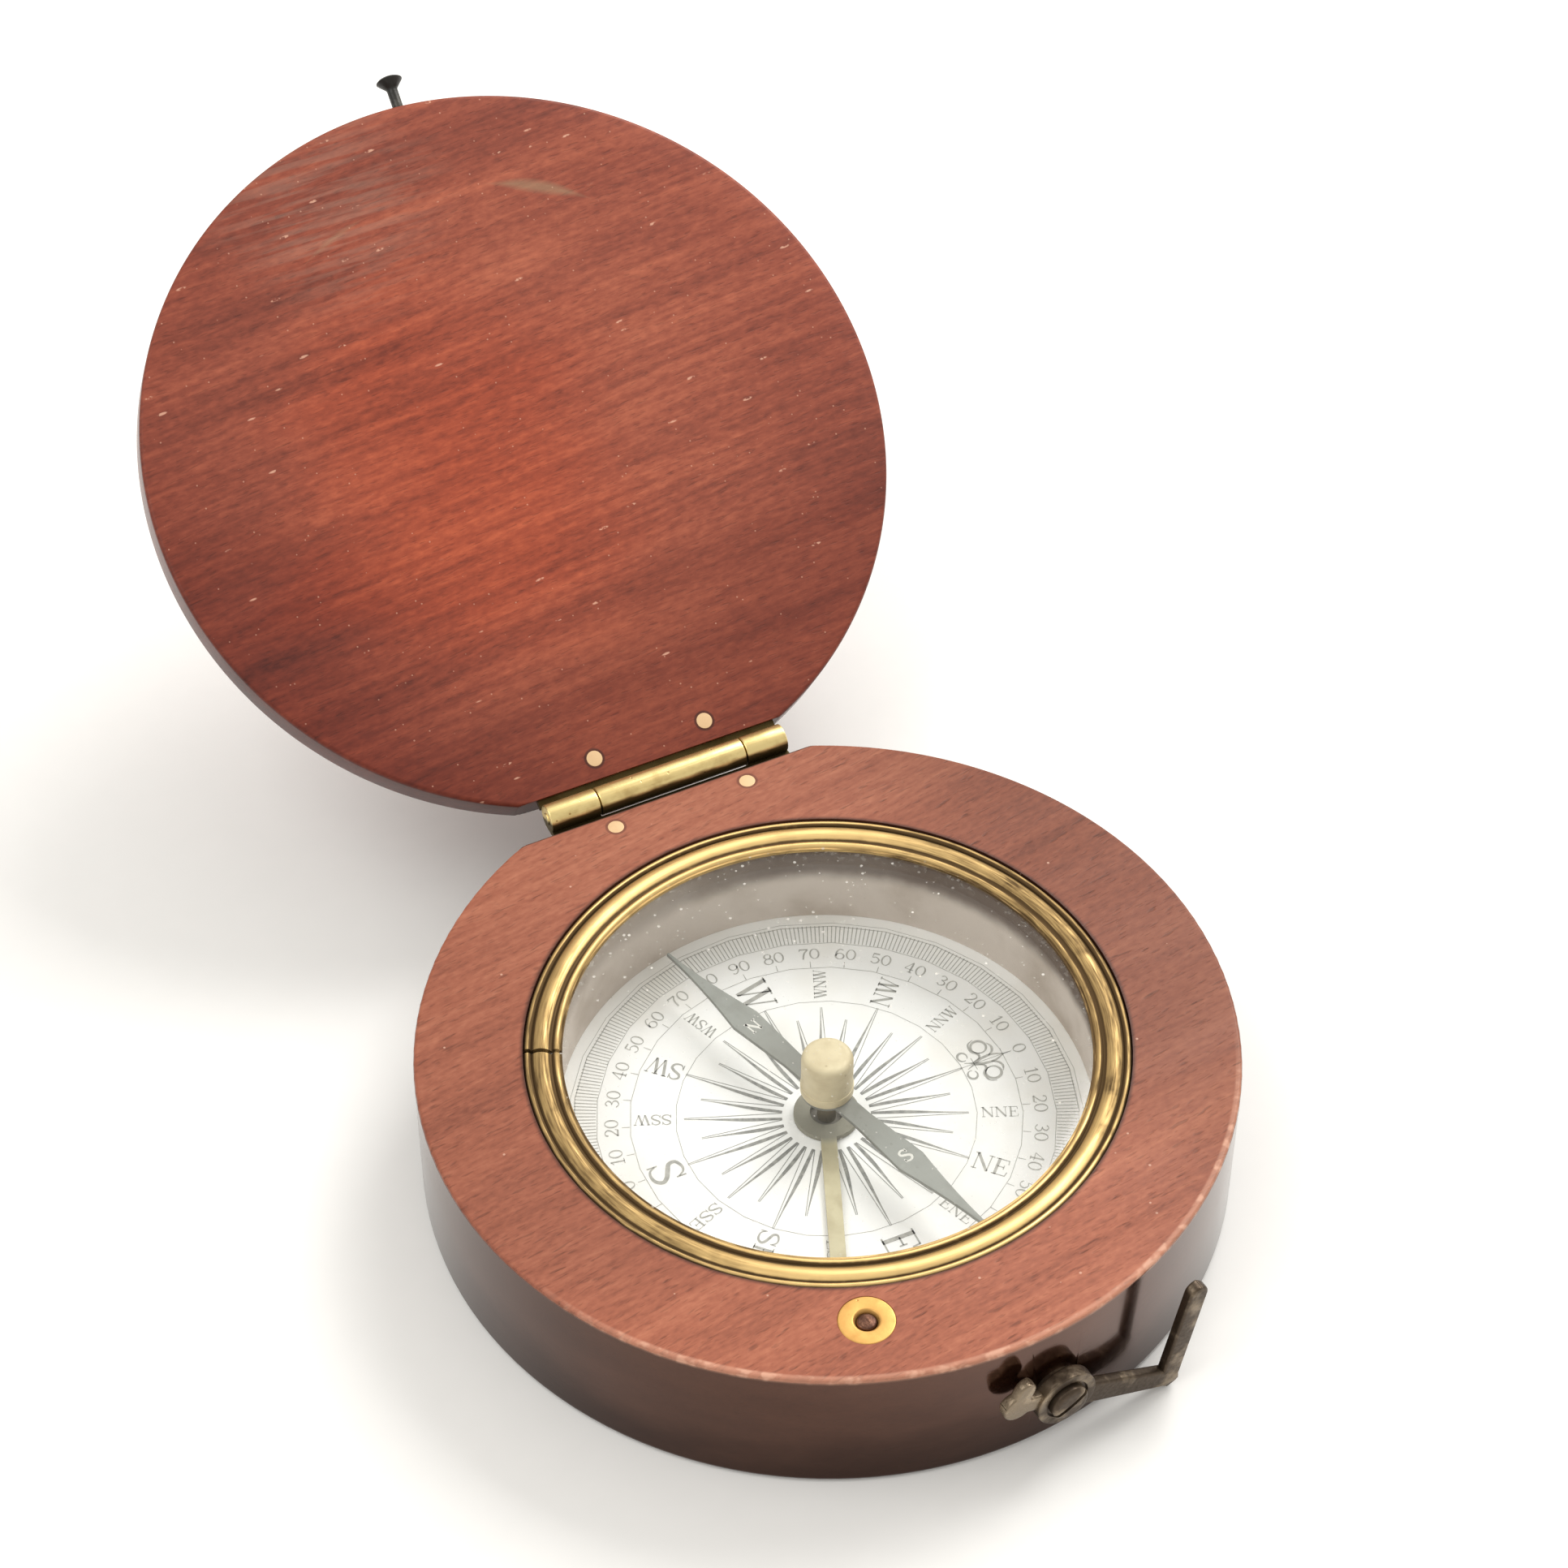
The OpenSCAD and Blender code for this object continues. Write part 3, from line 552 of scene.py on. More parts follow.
@dataclass(frozen=True)
class Brass(Finish):
    """Brass with rubbed scratches and spots, and painted shade where a kind of brass asks for it.
    """

    colour: Colour
    tarnish: Colour
    rough: float = 0.32
    along: Point = (60.0, 2200.0, 2200.0)
    share: float = 0.5
    metal: float = 1.0
    dull: Colour = srgb(142, 141, 130)

    def grime(self, g: Graph, point: Term) -> Value:
        """Mask of painted shade on the metal; plain brass has none."""
        return 0.0

    def make(self) -> bpy.types.Material:
        """Builds the material.

        Returns:
            The material.
        """
        g = Graph(self.name)
        point = g.place()
        lines = g.noise(point, self.along, 3.0)
        cloud = g.noise(point, 420.0, 4.0)
        spots = g.specks(point, 1300.0, 0.2, 0.08)
        stain = g.step(cloud, 0.42, 0.66) * self.share + spots * 0.5 + (lines - 0.5) * 0.6
        stain = g.clamp(stain)
        colour = g.mix(stain, self.colour, self.tarnish)
        dirt_and_shade = self.grime(g, point)
        colour = g.mix(dirt_and_shade, colour, self.dull)
        shine = g.clamp(self.rough + (lines - 0.5) * 0.35 + stain * 0.2 + dirt_and_shade * 0.2)
        return g.surface(
            Base_Color=colour,
            Metallic=self.metal,
            Roughness=shine,
            Normal=g.bump(lines - spots, 0.02),
        )


@dataclass(frozen=True)
class LeverBrass(Brass):
    """Brass of the lever, with painted shade round the needle's axis, under the cap."""

    def grime(self, g: Graph, point: Term) -> Value:
        """Mask of painted shade on the ring and the start of the arm."""
        return g.step(g.radius(point), 0.0045, 0.0032) * 0.9


@dataclass(frozen=True)
class HingeBrass(Brass):
    """Brass of the hinge, with painted shade beside its barrel and on the barrel's lower side."""

    def grime(self, g: Graph, point: Term) -> Value:
        """Mask of painted shade: what lies off the barrel or low on its front.

        Args:
            g: the graph.
            point: the point looked at.

        Returns:
            The mask, with a ragged edge on the barrel.
        """
        _, y, z = g.parts(point)
        rise, back = z - HINGE_AXIS[2], y - HINGE_AXIS[1]
        off = g.step(g.math("SQRT", rise * rise + back * back), 0.00152, 0.00156)
        ragged = (g.noise(point, (300.0, 900.0, 900.0)) - 0.5) * 0.0009
        ragged = rise + back * 0.5 + ragged
        return g.clamp(off + g.step(ragged, 0.0002, -0.0004)) * 0.92


@dataclass(frozen=True)
class BezelBrass(Finish):
    """Brass of the bezel: turned lines round it, dark grooves, darker edges, painted shade on its
    left and right sides, chips within.
    """

    colour: Colour = srgb(234, 200, 136)
    tarnish: Colour = srgb(104, 84, 58)

    def make(self) -> bpy.types.Material:
        """Builds the material.

        Returns:
            The material.
        """
        g = Graph(self.name)
        point = g.place()
        x, y, z = g.parts(point)
        radius = g.radius(point)
        round_it = g.joined(x / radius, y / radius, radius + z)
        lines = g.noise(round_it, (9.0, 9.0, 5200.0), 3.0)
        cloud = g.noise(point, 330.0, 4.0)
        groove = g.band(radius, 0.02940, 0.00008, 0.00024)
        groove = groove + g.band(radius, 0.02735, 0.00012, 0.00026)
        # Darker at the outer and inner edges, and painted shade on the left and right sides; the
        # tarnish colour serves the grooves' patina and this shade alike.
        edge = g.step(radius, 0.02985, 0.03005) * 0.6 + g.step(radius, 0.02665, 0.02640) * 0.5
        shade_across = x + cloud * 0.01
        edge = edge + g.step(shade_across, -0.004, -0.024) * 0.7 + g.step(shade_across, 0.014, 0.032) * 0.7
        dirt_and_shade = groove * (0.6 + g.noise(point, 900.0)) + edge * (0.95 + (lines - 0.5) * 1.6)
        dirt_and_shade = g.clamp(dirt_and_shade + g.step(cloud, 0.55, 0.75) * 0.2)
        crumbs = g.specks(point, 1500.0, 0.3, 0.16) * g.step(radius, 0.0267, 0.0264)
        colour = g.mix(dirt_and_shade, self.colour, self.tarnish)
        return g.surface(
            Base_Color=g.mix(crumbs * 0.6, colour, srgb(214, 205, 190)),
            Metallic=1.0 - crumbs * 0.8,
            Roughness=g.clamp(0.42 + (lines - 0.5) * 0.35 + dirt_and_shade * 0.3 + crumbs * 0.3),
            Normal=g.bump(lines - groove, 0.012),
        )


@dataclass(frozen=True)
class DarkIron(Finish):
    """Dark worn metal with bare places."""

    skin: Colour = srgb(86, 72, 58)
    bare: Colour = srgb(160, 143, 120)
    metal: float = 0.7
    rub: Point = (0.0, 0.0, 0.0)
    reach: float = 0.001

    def make(self) -> bpy.types.Material:
        """Builds the material.

        Returns:
            The material, bare within a reach of the place where fingers rub it.
        """
        g = Graph(self.name)
        point = g.place()
        ends = {0: point, 1: Vector(self.rub)}
        near = g.node("ShaderNodeVectorMath", {"operation": "DISTANCE"}, ends, "Value")
        wear = g.step(g.noise(point, 420.0, 4.0), 0.50, 0.70)
        wear = wear + g.step(near, self.reach * 1.3, self.reach * 0.8)
        pits = g.noise(point, 2400.0, 3.0)
        skin = g.mix(pits, self.skin, tuple(part * 0.5 for part in self.skin))
        return g.surface(
            Base_Color=g.mix(wear * 0.6, skin, self.bare),
            Metallic=self.metal,
            Roughness=g.clamp(0.42 + (pits - 0.5) * 0.4 - wear * 0.1),
            Normal=g.bump(pits + wear, 0.03),
        )


@dataclass(frozen=True)
class Steel(Finish):
    """Grey steel with fine brushing and faint freckles."""

    colour: Colour = srgb(142, 145, 140)
    turn: float = 0.0
    metal: float = 0.25

    def make(self) -> bpy.types.Material:
        """Builds the material.

        Returns:
            The material.
        """
        g = Graph(self.name)
        point = g.spun(g.place(), -self.turn)
        lines = g.noise(point, (90.0, 3200.0, 3200.0), 3.0)
        freckles = g.specks(point, 1800.0, 0.3, 0.12)
        cloud = g.noise(point, 400.0, 3.0)
        dark = g.clamp(freckles * 0.3 + g.step(cloud, 0.5, 0.75) * 0.25)
        dark = g.clamp(dark + g.step(g.radius(point), 0.012, 0.004) * 0.5)
        return g.surface(
            Base_Color=g.mix(dark, self.colour, srgb(108, 108, 101)),
            Metallic=self.metal,
            Roughness=g.clamp(0.52 + (lines - 0.5) * 0.3),
            Normal=g.bump(lines, 0.006),
        )


@dataclass(frozen=True)
class Paper(Finish):
    """Printed card or grey lining, with faint stains and fibres, and on the lining a dark band at
    the top: dirt with painted shade.
    """

    colour: Colour = srgb(251, 253, 253)
    stain: Colour = srgb(230, 226, 214)
    share: float = 0.3
    top_line: float = 0.0

    def make(self) -> bpy.types.Material:
        """Builds the material.

        Returns:
            The material.
        """
        g = Graph(self.name)
        point = g.place()
        radius = g.radius(point)
        x, _, z = g.parts(point)
        cloud = g.noise(point, 120.0, 4.0)
        fibres = g.noise(point, 2600.0, 2.0)
        rim = g.step(radius, 0.020, 0.0275) * 0.35
        dots = g.specks(point, 900.0, 0.14, 0.04) * 0.3
        marks = g.clamp((g.step(cloud, 0.45, 0.75) + rim) * self.share + dots)
        colour = g.mix(marks, self.colour, self.stain)
        # The card's middle under the cap is dark grey: grime, and painted shade of the cap.
        colour = g.mix(g.step(radius, 0.0026, 0.0020), colour, srgb(112, 108, 98))
        if self.top_line:
            # A dark ragged band at the top of the lining, heavier on the right: dirt, and painted
            # shade under the bezel's edge.
            ragged = z + (g.noise(point, 500.0, 3.0) - 0.5) * 0.0009
            dark = g.step(ragged, (self.top_line - 4.2) * MM, (self.top_line - 1.8) * MM)
            dark = dark * (0.25 + g.step(x, -0.014, 0.010) * 0.62)
            colour = g.mix(dark, colour, srgb(70, 46, 26))
        return g.surface(Base_Color=colour, Roughness=0.72, Normal=g.bump(fibres, 0.01))


@dataclass(frozen=True)
class Ink(Finish):
    """Thin grey ink that doesn't cover evenly."""

    dark: Colour = srgb(92, 96, 96)
    faint: Colour = srgb(200, 200, 194)

    def make(self) -> bpy.types.Material:
        """Builds the material.

        Returns:
            The material.
        """
        g = Graph(self.name)
        point = g.place()
        cover = g.noise(point, 1500.0, 3.0) + g.step(g.radius(point), 0.004, 0.024) * 0.4 - 0.16
        return g.surface(Base_Color=g.mix(g.clamp(cover), self.dark, self.faint), Roughness=0.6)


@dataclass(frozen=True)
class CoverGlass(Finish):
    """Clear glass with dust, fine scratches and a soft smear."""

    def make(self) -> bpy.types.Material:
        """Builds the material.

        Returns:
            The material.
        """
        g = Graph(self.name)
        point = g.place()
        facing = g.node("ShaderNodeLayerWeight", inputs={"Blend": 0.5}, output="Facing")
        clear = g.node("ShaderNodeBsdfTransparent", inputs={"Color": (1.0, 1.0, 0.995)})
        mirror = {"Color": (1.0, 1.0, 1.0), "Roughness": 0.04}
        gloss = g.node("ShaderNodeBsdfGlossy", inputs=mirror)
        seen = g.blend(0.03 + facing**5.0 * 0.9, clear, gloss)
        smear = g.step(g.noise(point, 60.0, 4.0), 0.45, 0.75)
        back = g.step(g.parts(point)[1], 0.010, 0.018)
        rim = g.step(g.radius(point), 0.0256, 0.0265)
        dust = g.clamp(
            g.specks(point, 620.0, 0.12, 0.07) * 0.8
            + g.specks(point, 1000.0, 0.2, 0.14) * back * 0.5
            + g.specks(point, 1900.0, 0.22, 0.10) * 0.3
            + smear * 0.03
            + rim * g.step(g.noise(point, 1400.0, 3.0), 0.55, 0.65) * 0.25
        )
        powder = g.node("ShaderNodeBsdfDiffuse", inputs={"Color": srgb(225, 222, 214)})
        return g.done(g.blend(dust, seen, powder))


@dataclass(frozen=True)
class Stone(Finish):
    """Small polished red-brown stone with darker veins."""

    def make(self) -> bpy.types.Material:
        """Builds the material.

        Returns:
            The material.
        """
        g = Graph(self.name)
        veins = g.noise(g.place(), 3000.0, 4.0)
        colour = g.mix(veins, srgb(150, 40, 34), srgb(84, 20, 18))
        return g.surface(Base_Color=colour, Roughness=0.2)


# ---------------------------------------------------------------- meshes


class Body(Enum):
    """The groups of the frame that move together."""

    CASE = "case"
    LID = "lid"
    NEEDLE = "compass_needle"
    BUTTON = "button"
    LIFTER = "lifter"
    HOOK = "side_hook"


def settle(made: bpy.types.Object, body: Body, slot: str, *nodes: str) -> None:
    """Hangs a piece on its body and hides the nodes that it stands for.

    Args:
        made: the piece.
        body: the body on which it rides.
        slot: not used.
        nodes: the nodes that it stands for.
    """
    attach(made, body.value)
    if nodes:
        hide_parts(*nodes)
    LOG.info("%s: %d faces on %s", made.name, len(made.data.polygons), body.value)


def quads(rows: int, columns: int, closed: bool = False) -> np.ndarray:
    """Faces over a grid of points that is numbered row by row.

    Args:
        rows: how many rows there are.
        columns: how many points a row has.
        closed: whether each row closes on itself.

    Returns:
        Four point numbers for each face.
    """
    row, column = np.mgrid[: rows - 1, : columns if closed else columns - 1]
    after = (column + 1) % columns
    start, end = row * columns, (row + 1) * columns
    corners = (start + column, start + after, end + after, end + column)
    return np.stack(corners, axis=-1).reshape(-1, 4)


def linked(name: str, data: bpy.types.ID) -> bpy.types.Object:
    """Puts data into the scene as an object.

    Args:
        name: the object's name.
        data: its mesh, lamp or camera.

    Returns:
        The object.
    """
    made = bpy.data.objects.new(name, data)
    bpy.context.collection.objects.link(made)
    return made


def build(
    name: str, points: np.ndarray, faces: Faces, finish: bpy.types.Material
) -> bpy.types.Object:
    """Makes a piece from points in millimetres.

    Args:
        name: the piece's name.
        points: its points, one per row.
        faces: point numbers of each face.
        finish: its material.

    Returns:
        The piece, shaded smooth.
    """
    mesh = bpy.data.meshes.new(name)
    rows = faces if isinstance(faces, list) else faces.tolist()
    mesh.from_pydata((points * MM).tolist(), [], rows)
    mesh.materials.append(finish)
    mesh.shade_smooth()
    return linked(name, mesh)


def softened(node: str, name: str, width: float, finish: bpy.types.Material) -> bpy.types.Object:
    """Copies a node's solid and rounds its edges a little.

    Args:
        node: the node that is copied.
        name: the copy's name.
        width: the width of the rounding in millimetres.
        finish: its material.

    Returns:
        The copy, merged and with its flat faces whole again.
    """
    mesh = bpy.data.meshes.new(name)
    work = bmesh.new()
    work.from_mesh(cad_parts[node].data)
    bmesh.ops.remove_doubles(work, verts=work.verts, dist=1e-6)
    flat = math.radians(0.03)
    bmesh.ops.dissolve_limit(work, angle_limit=flat, verts=work.verts, edges=work.edges)
    bmesh.ops.recalc_face_normals(work, faces=work.faces)
    work.to_mesh(mesh)
    work.free()
    mesh.materials.clear()
    mesh.materials.append(finish)
    mesh.shade_smooth()
    made = linked(name, mesh)
    edge = made.modifiers.new("edge", "BEVEL")
    edge.width = width * MM
    edge.segments = 2
    edge.limit_method = "ANGLE"
    edge.angle_limit = math.radians(32.0)
    weigh = made.modifiers.new("weigh", "WEIGHTED_NORMAL")
    weigh.weight = 80
    weigh.keep_sharp = True
    return made


def raised(
    name: str, shape: Shape, finish: bpy.types.Material, sharp: float = 40.0
) -> bpy.types.Object:
    """Makes a piece from a shape, closes its seams and poles and turns its faces outwards.

    Args:
        name: the piece's name.
        shape: its points in millimetres and its faces.
        finish: its material.
        sharp: the angle above which an edge stays sharp, in degrees.

    Returns:
        The piece.
    """
    points, faces = shape
    made = build(name, points, faces, finish)
    work = bmesh.new()
    work.from_mesh(made.data)
    bmesh.ops.remove_doubles(work, verts=work.verts, dist=1e-7)
    bmesh.ops.recalc_face_normals(work, faces=work.faces)
    work.to_mesh(made.data)
    work.free()
    made.data.set_sharp_from_angle(angle=math.radians(sharp))
    return made


def gather(*shapes: Shape) -> Shape:
    """Puts several surfaces into one.

    Args:
        shapes: the surfaces.

    Returns:
        One shape, with the faces' point numbers shifted.
    """
    starts = np.cumsum([0] + [len(points) for points, _ in shapes[:-1]])
    faces = [faces + start for (_, faces), start in zip(shapes, starts)]
    return np.vstack([points for points, _ in shapes]), np.vstack(faces)


def rounded(
    corners: Sequence[tuple[float, float]], radii: Union[float, Sequence[float]], steps: int = 6
) -> np.ndarray:
    """Section whose corners are rounded.

    Each corner becomes the parabola between the two points that lie at its
    radius from it along its two sides.

    Args:
        corners: the corners of the closed section, in order.
        radii: the radius of all corners or of each.
        steps: points on each corner.

    Returns:
        The points of the rounded section.
    """
    p = np.array(corners, float)
    reach = np.broadcast_to(np.asarray(radii, float), len(p))[:, None]
    back, ahead = np.roll(p, 1, axis=0) - p, np.roll(p, -1, axis=0) - p
    a = p + back / np.linalg.norm(back, axis=1, keepdims=True) * reach
    b = p + ahead / np.linalg.norm(ahead, axis=1, keepdims=True) * reach
    t = np.linspace(0, 1, steps)[None, :, None]
    smooth = (1 - t) ** 2 * a[:, None] + 2 * t * (1 - t) * p[:, None] + t**2 * b[:, None]
    return smooth.reshape(-1, 2)


@dataclass(frozen=True)
class Turning:
    """A place and a direction round which sections are turned."""

    foot: Point
    axis: Point = (0.0, 0.0, 1.0)
    steps: int = 72

    def ways(self) -> tuple[np.ndarray, np.ndarray, np.ndarray]:
        """Two directions across the axis, and the axis.

        Returns:
            The three directions, each one long.
        """
        axis = np.array(self.axis) / np.linalg.norm(self.axis)
        side = np.cross([0.0, 0.0, 1.0] if abs(axis[2]) < 0.9 else [0.0, 1.0, 0.0], axis)
        side /= np.linalg.norm(side)
        return side, np.cross(axis, side), axis

    def place(self, across: np.ndarray, beside: np.ndarray, along: np.ndarray) -> np.ndarray:
        """Points from their parts along the two directions and the axis."""
        parts = zip((across, beside, along), self.ways())
        return np.array(self.foot) + sum(np.asarray(part)[..., None] * way for part, way in parts)

    def turned(self, section: np.ndarray) -> Shape:
        """Carries a closed section round the axis.

        Args:
            section: its points as distance from the axis and height.

        Returns:
            The points and faces of the surface.
        """
        section = np.vstack([section, section[:1]])
        angle = np.linspace(0, 2 * math.pi, self.steps, endpoint=False)[None, :]
        far, high = section[:, :1], section[:, 1:]
        points = self.place(far * np.cos(angle), far * np.sin(angle), high + 0 * angle)
        return points.reshape(-1, 3), quads(len(section), self.steps, closed=True)

    def rod(self, radius: float, start: float, end: float, rounding: float) -> Shape:
        """A rod with rounded ends along the axis, between two heights."""
        corners = ((0.0, start), (radius, start), (radius, end), (0.0, end))
        return self.turned(rounded(corners, (0.0, rounding, rounding, 0.0)))


def swung(shape: Shape) -> Shape:
    """Carries a shape of the closed lid to where the open lid rests.

    Args:
        shape: the shape.

    Returns:
        The shape turned back about the hinge's axis.
    """
    points, faces = shape
    centre = np.array(HINGE_AXIS) / MM
    turn = np.array(Matrix.Rotation(math.radians(-LID_SWING), 3, "X"))
    return (points - centre) @ turn.T + centre, faces


def keep(node: str, finish: bpy.types.Material) -> None:
    """Gives a node of the frame its finish and leaves its solid as it is."""
    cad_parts[node].material_slots[0].material = finish
    LOG.info("%s: kept from the frame", node)


# ---------------------------------------------------------------- engraving


def curve(*points: tuple[float, float], steps: int = 8) -> np.ndarray:
    """Smooth line through points.

    It is a Catmull-Rom spline, worked out for all its spans at once.

    Args:
        points: the points.
        steps: how many points each span gets.

    Returns:
        The points of the line.
    """
    p = np.array(points, float)
    p = np.vstack([2 * p[0] - p[1], p, 2 * p[-1] - p[-2]])
    t = np.linspace(0, 1, steps, endpoint=False)[None, :, None]
    a, b, c, d = (p[i : len(p) - 3 + i, None, :] for i in range(4))
    square, cube = 2 * a - 5 * b + 4 * c - d, 3 * b - a - 3 * c + d
    line = 0.5 * (2 * b + (c - a) * t + square * t**2 + cube * t**3)
    return np.vstack([line.reshape(-1, 2), p[-2]])


def arc(cx: float, cy: float, rx: float, ry: float, start: float, end: float) -> np.ndarray:
    """Part of an ellipse between two angles in degrees."""
    angle = np.radians(np.linspace(start, end, max(6, int(abs(end - start) / 12))))
    return np.stack([cx + rx * np.cos(angle), cy + ry * np.sin(angle)], axis=1)


def line(x0: float, y0: float, x1: float, y1: float) -> np.ndarray:
    """Straight stroke between two points."""
    return np.array([[x0, y0], [x1, y1]], float)


class Pen(Enum):
    """How wide a stroke is."""

    SHADED = "wide where it runs upwards and thin where it runs across"
    THICK = "wide"
    THIN = "thin"
    SWELLING = "wide in its middle"

    def share(self, path: np.ndarray) -> np.ndarray:
        """Width of a stroke, 0 where it is thin and 1 where it is wide.

        Args:
            path: the points of the stroke.

        Returns:
            The share at each point.
        """
        along = np.gradient(path, axis=0)
        upright = np.abs(along[:, 1]) / np.linalg.norm(along, axis=1)
        swell = np.sin(np.linspace(0, math.pi, len(path)))
        shares = {Pen.SHADED: upright, Pen.THICK: 1 + 0 * swell, Pen.SWELLING: swell}
        return shares.get(self, 0 * swell) ** 1.5


Stroke = tuple[Pen, np.ndarray]


def thick(*ends: float) -> Stroke:
    """A wide straight stroke between two points."""
    return Pen.THICK, line(*ends)


def thin(*ends: float) -> Stroke:
    """A thin straight stroke between two points."""
    return Pen.THIN, line(*ends)


def bowl(*oval: float) -> Stroke:
    """A shaded oval: its middle and its two half widths."""
    return Pen.SHADED, arc(*oval, 0, 360)


def sweep(*points: tuple[float, float]) -> Stroke:
    """A shaded curve through points."""
    return Pen.SHADED, curve(*points)


S_POINTS = (
    (0.62, 0.78), (0.50, 0.95), (0.32, 0.98), (0.12, 0.86), (0.14, 0.66), (0.34, 0.54),
    (0.54, 0.43), (0.66, 0.27), (0.56, 0.08), (0.36, 0.02), (0.18, 0.07), (0.08, 0.24),
)
GLYPHS: dict[str, tuple[float, tuple[Stroke, ...]]] = {
    "0": (0.80, (bowl(0.40, 0.5, 0.31, 0.46),)),
    "1": (
        0.62,
        (thick(0.33, 0, 0.33, 1), thin(0.10, 0.03, 0.56, 0.03), thin(0.33, 0.96, 0.12, 0.80)),
    ),
    "2": (
        0.76,
        (
            sweep((0.1, 0.74), (0.16, 0.92), (0.36, 0.97), (0.58, 0.8), (0.5, 0.5), (0.08, 0.06)),
            thick(0.08, 0.07, 0.62, 0.07),
            thin(0.62, 0.05, 0.67, 0.26),
        ),
    ),
    "3": (
        0.74,
        (
            sweep((0.1, 0.82), (0.3, 0.97), (0.54, 0.82), (0.46, 0.6), (0.26, 0.53)),
            sweep((0.26, 0.53), (0.56, 0.44), (0.62, 0.22), (0.36, 0.03), (0.07, 0.17)),
        ),
    ),
    "4": (
        0.80,
        (
            thick(0.5, 0, 0.5, 1),
            thin(0.5, 1, 0.04, 0.3),
            thin(0.04, 0.3, 0.72, 0.3),
            thin(0.34, 0.03, 0.66, 0.03),
        ),
    ),
    "5": (
        0.74,
        (
            thin(0.14, 0.96, 0.12, 0.54),
            thick(0.14, 0.93, 0.58, 0.93),
            sweep(
                (0.12, 0.54), (0.38, 0.62), (0.62, 0.42), (0.56, 0.14), (0.3, 0.03), (0.07, 0.16)
            ),
        ),
    ),
    "6": (
        0.80,
        (bowl(0.4, 0.3, 0.29, 0.28), sweep((0.62, 0.88), (0.4, 0.96), (0.17, 0.72), (0.11, 0.3))),
    ),
    "7": (
        0.74,
        (
            thick(0.08, 0.93, 0.66, 0.93),
            thin(0.08, 0.98, 0.06, 0.74),
            (Pen.THICK, curve((0.66, 0.92), (0.4, 0.55), (0.3, 0.0))),
        ),
    ),
    "8": (0.78, (bowl(0.39, 0.75, 0.23, 0.22), bowl(0.39, 0.27, 0.30, 0.26))),
    "9": (
        0.80,
        (bowl(0.4, 0.7, 0.29, 0.28), sweep((0.18, 0.12), (0.4, 0.04), (0.63, 0.28), (0.69, 0.7))),
    ),
    "N": (
        0.98,
        (
            thin(0.16, 0, 0.16, 1),
            thin(0.80, 0, 0.80, 1),
            thick(0.14, 0.98, 0.80, 0.02),
            thin(0.02, 0.97, 0.24, 0.97),
            thin(0.04, 0.03, 0.30, 0.03),
            thin(0.66, 0.97, 0.94, 0.97),
        ),
    ),
    "E": (
        0.82,
        (
            thick(0.2, 0, 0.2, 1),
            thin(0.04, 0.97, 0.68, 0.97),
            thin(0.2, 0.52, 0.52, 0.52),
            thin(0.04, 0.03, 0.70, 0.03),
            thin(0.66, 0.98, 0.69, 0.74),
            thin(0.69, 0.02, 0.74, 0.28),
            thin(0.52, 0.40, 0.52, 0.64),
        ),
    ),
    "S": (
        0.74,
        (
            (Pen.SWELLING, curve(*S_POINTS)),
            thin(0.63, 0.70, 0.63, 0.99),
            thin(0.07, 0.01, 0.07, 0.32),
        ),
    ),
    "W": (
        1.20,
        (
            thick(0.12, 1, 0.38, 0),
            thin(0.38, 0, 0.64, 1),
            thick(0.56, 1, 0.82, 0),
            thin(0.82, 0, 1.08, 1),
            thin(0.00, 0.97, 0.26, 0.97),
            thin(0.44, 0.97, 0.76, 0.97),
            thin(0.96, 0.97, 1.18, 0.97),
        ),
    ),
}


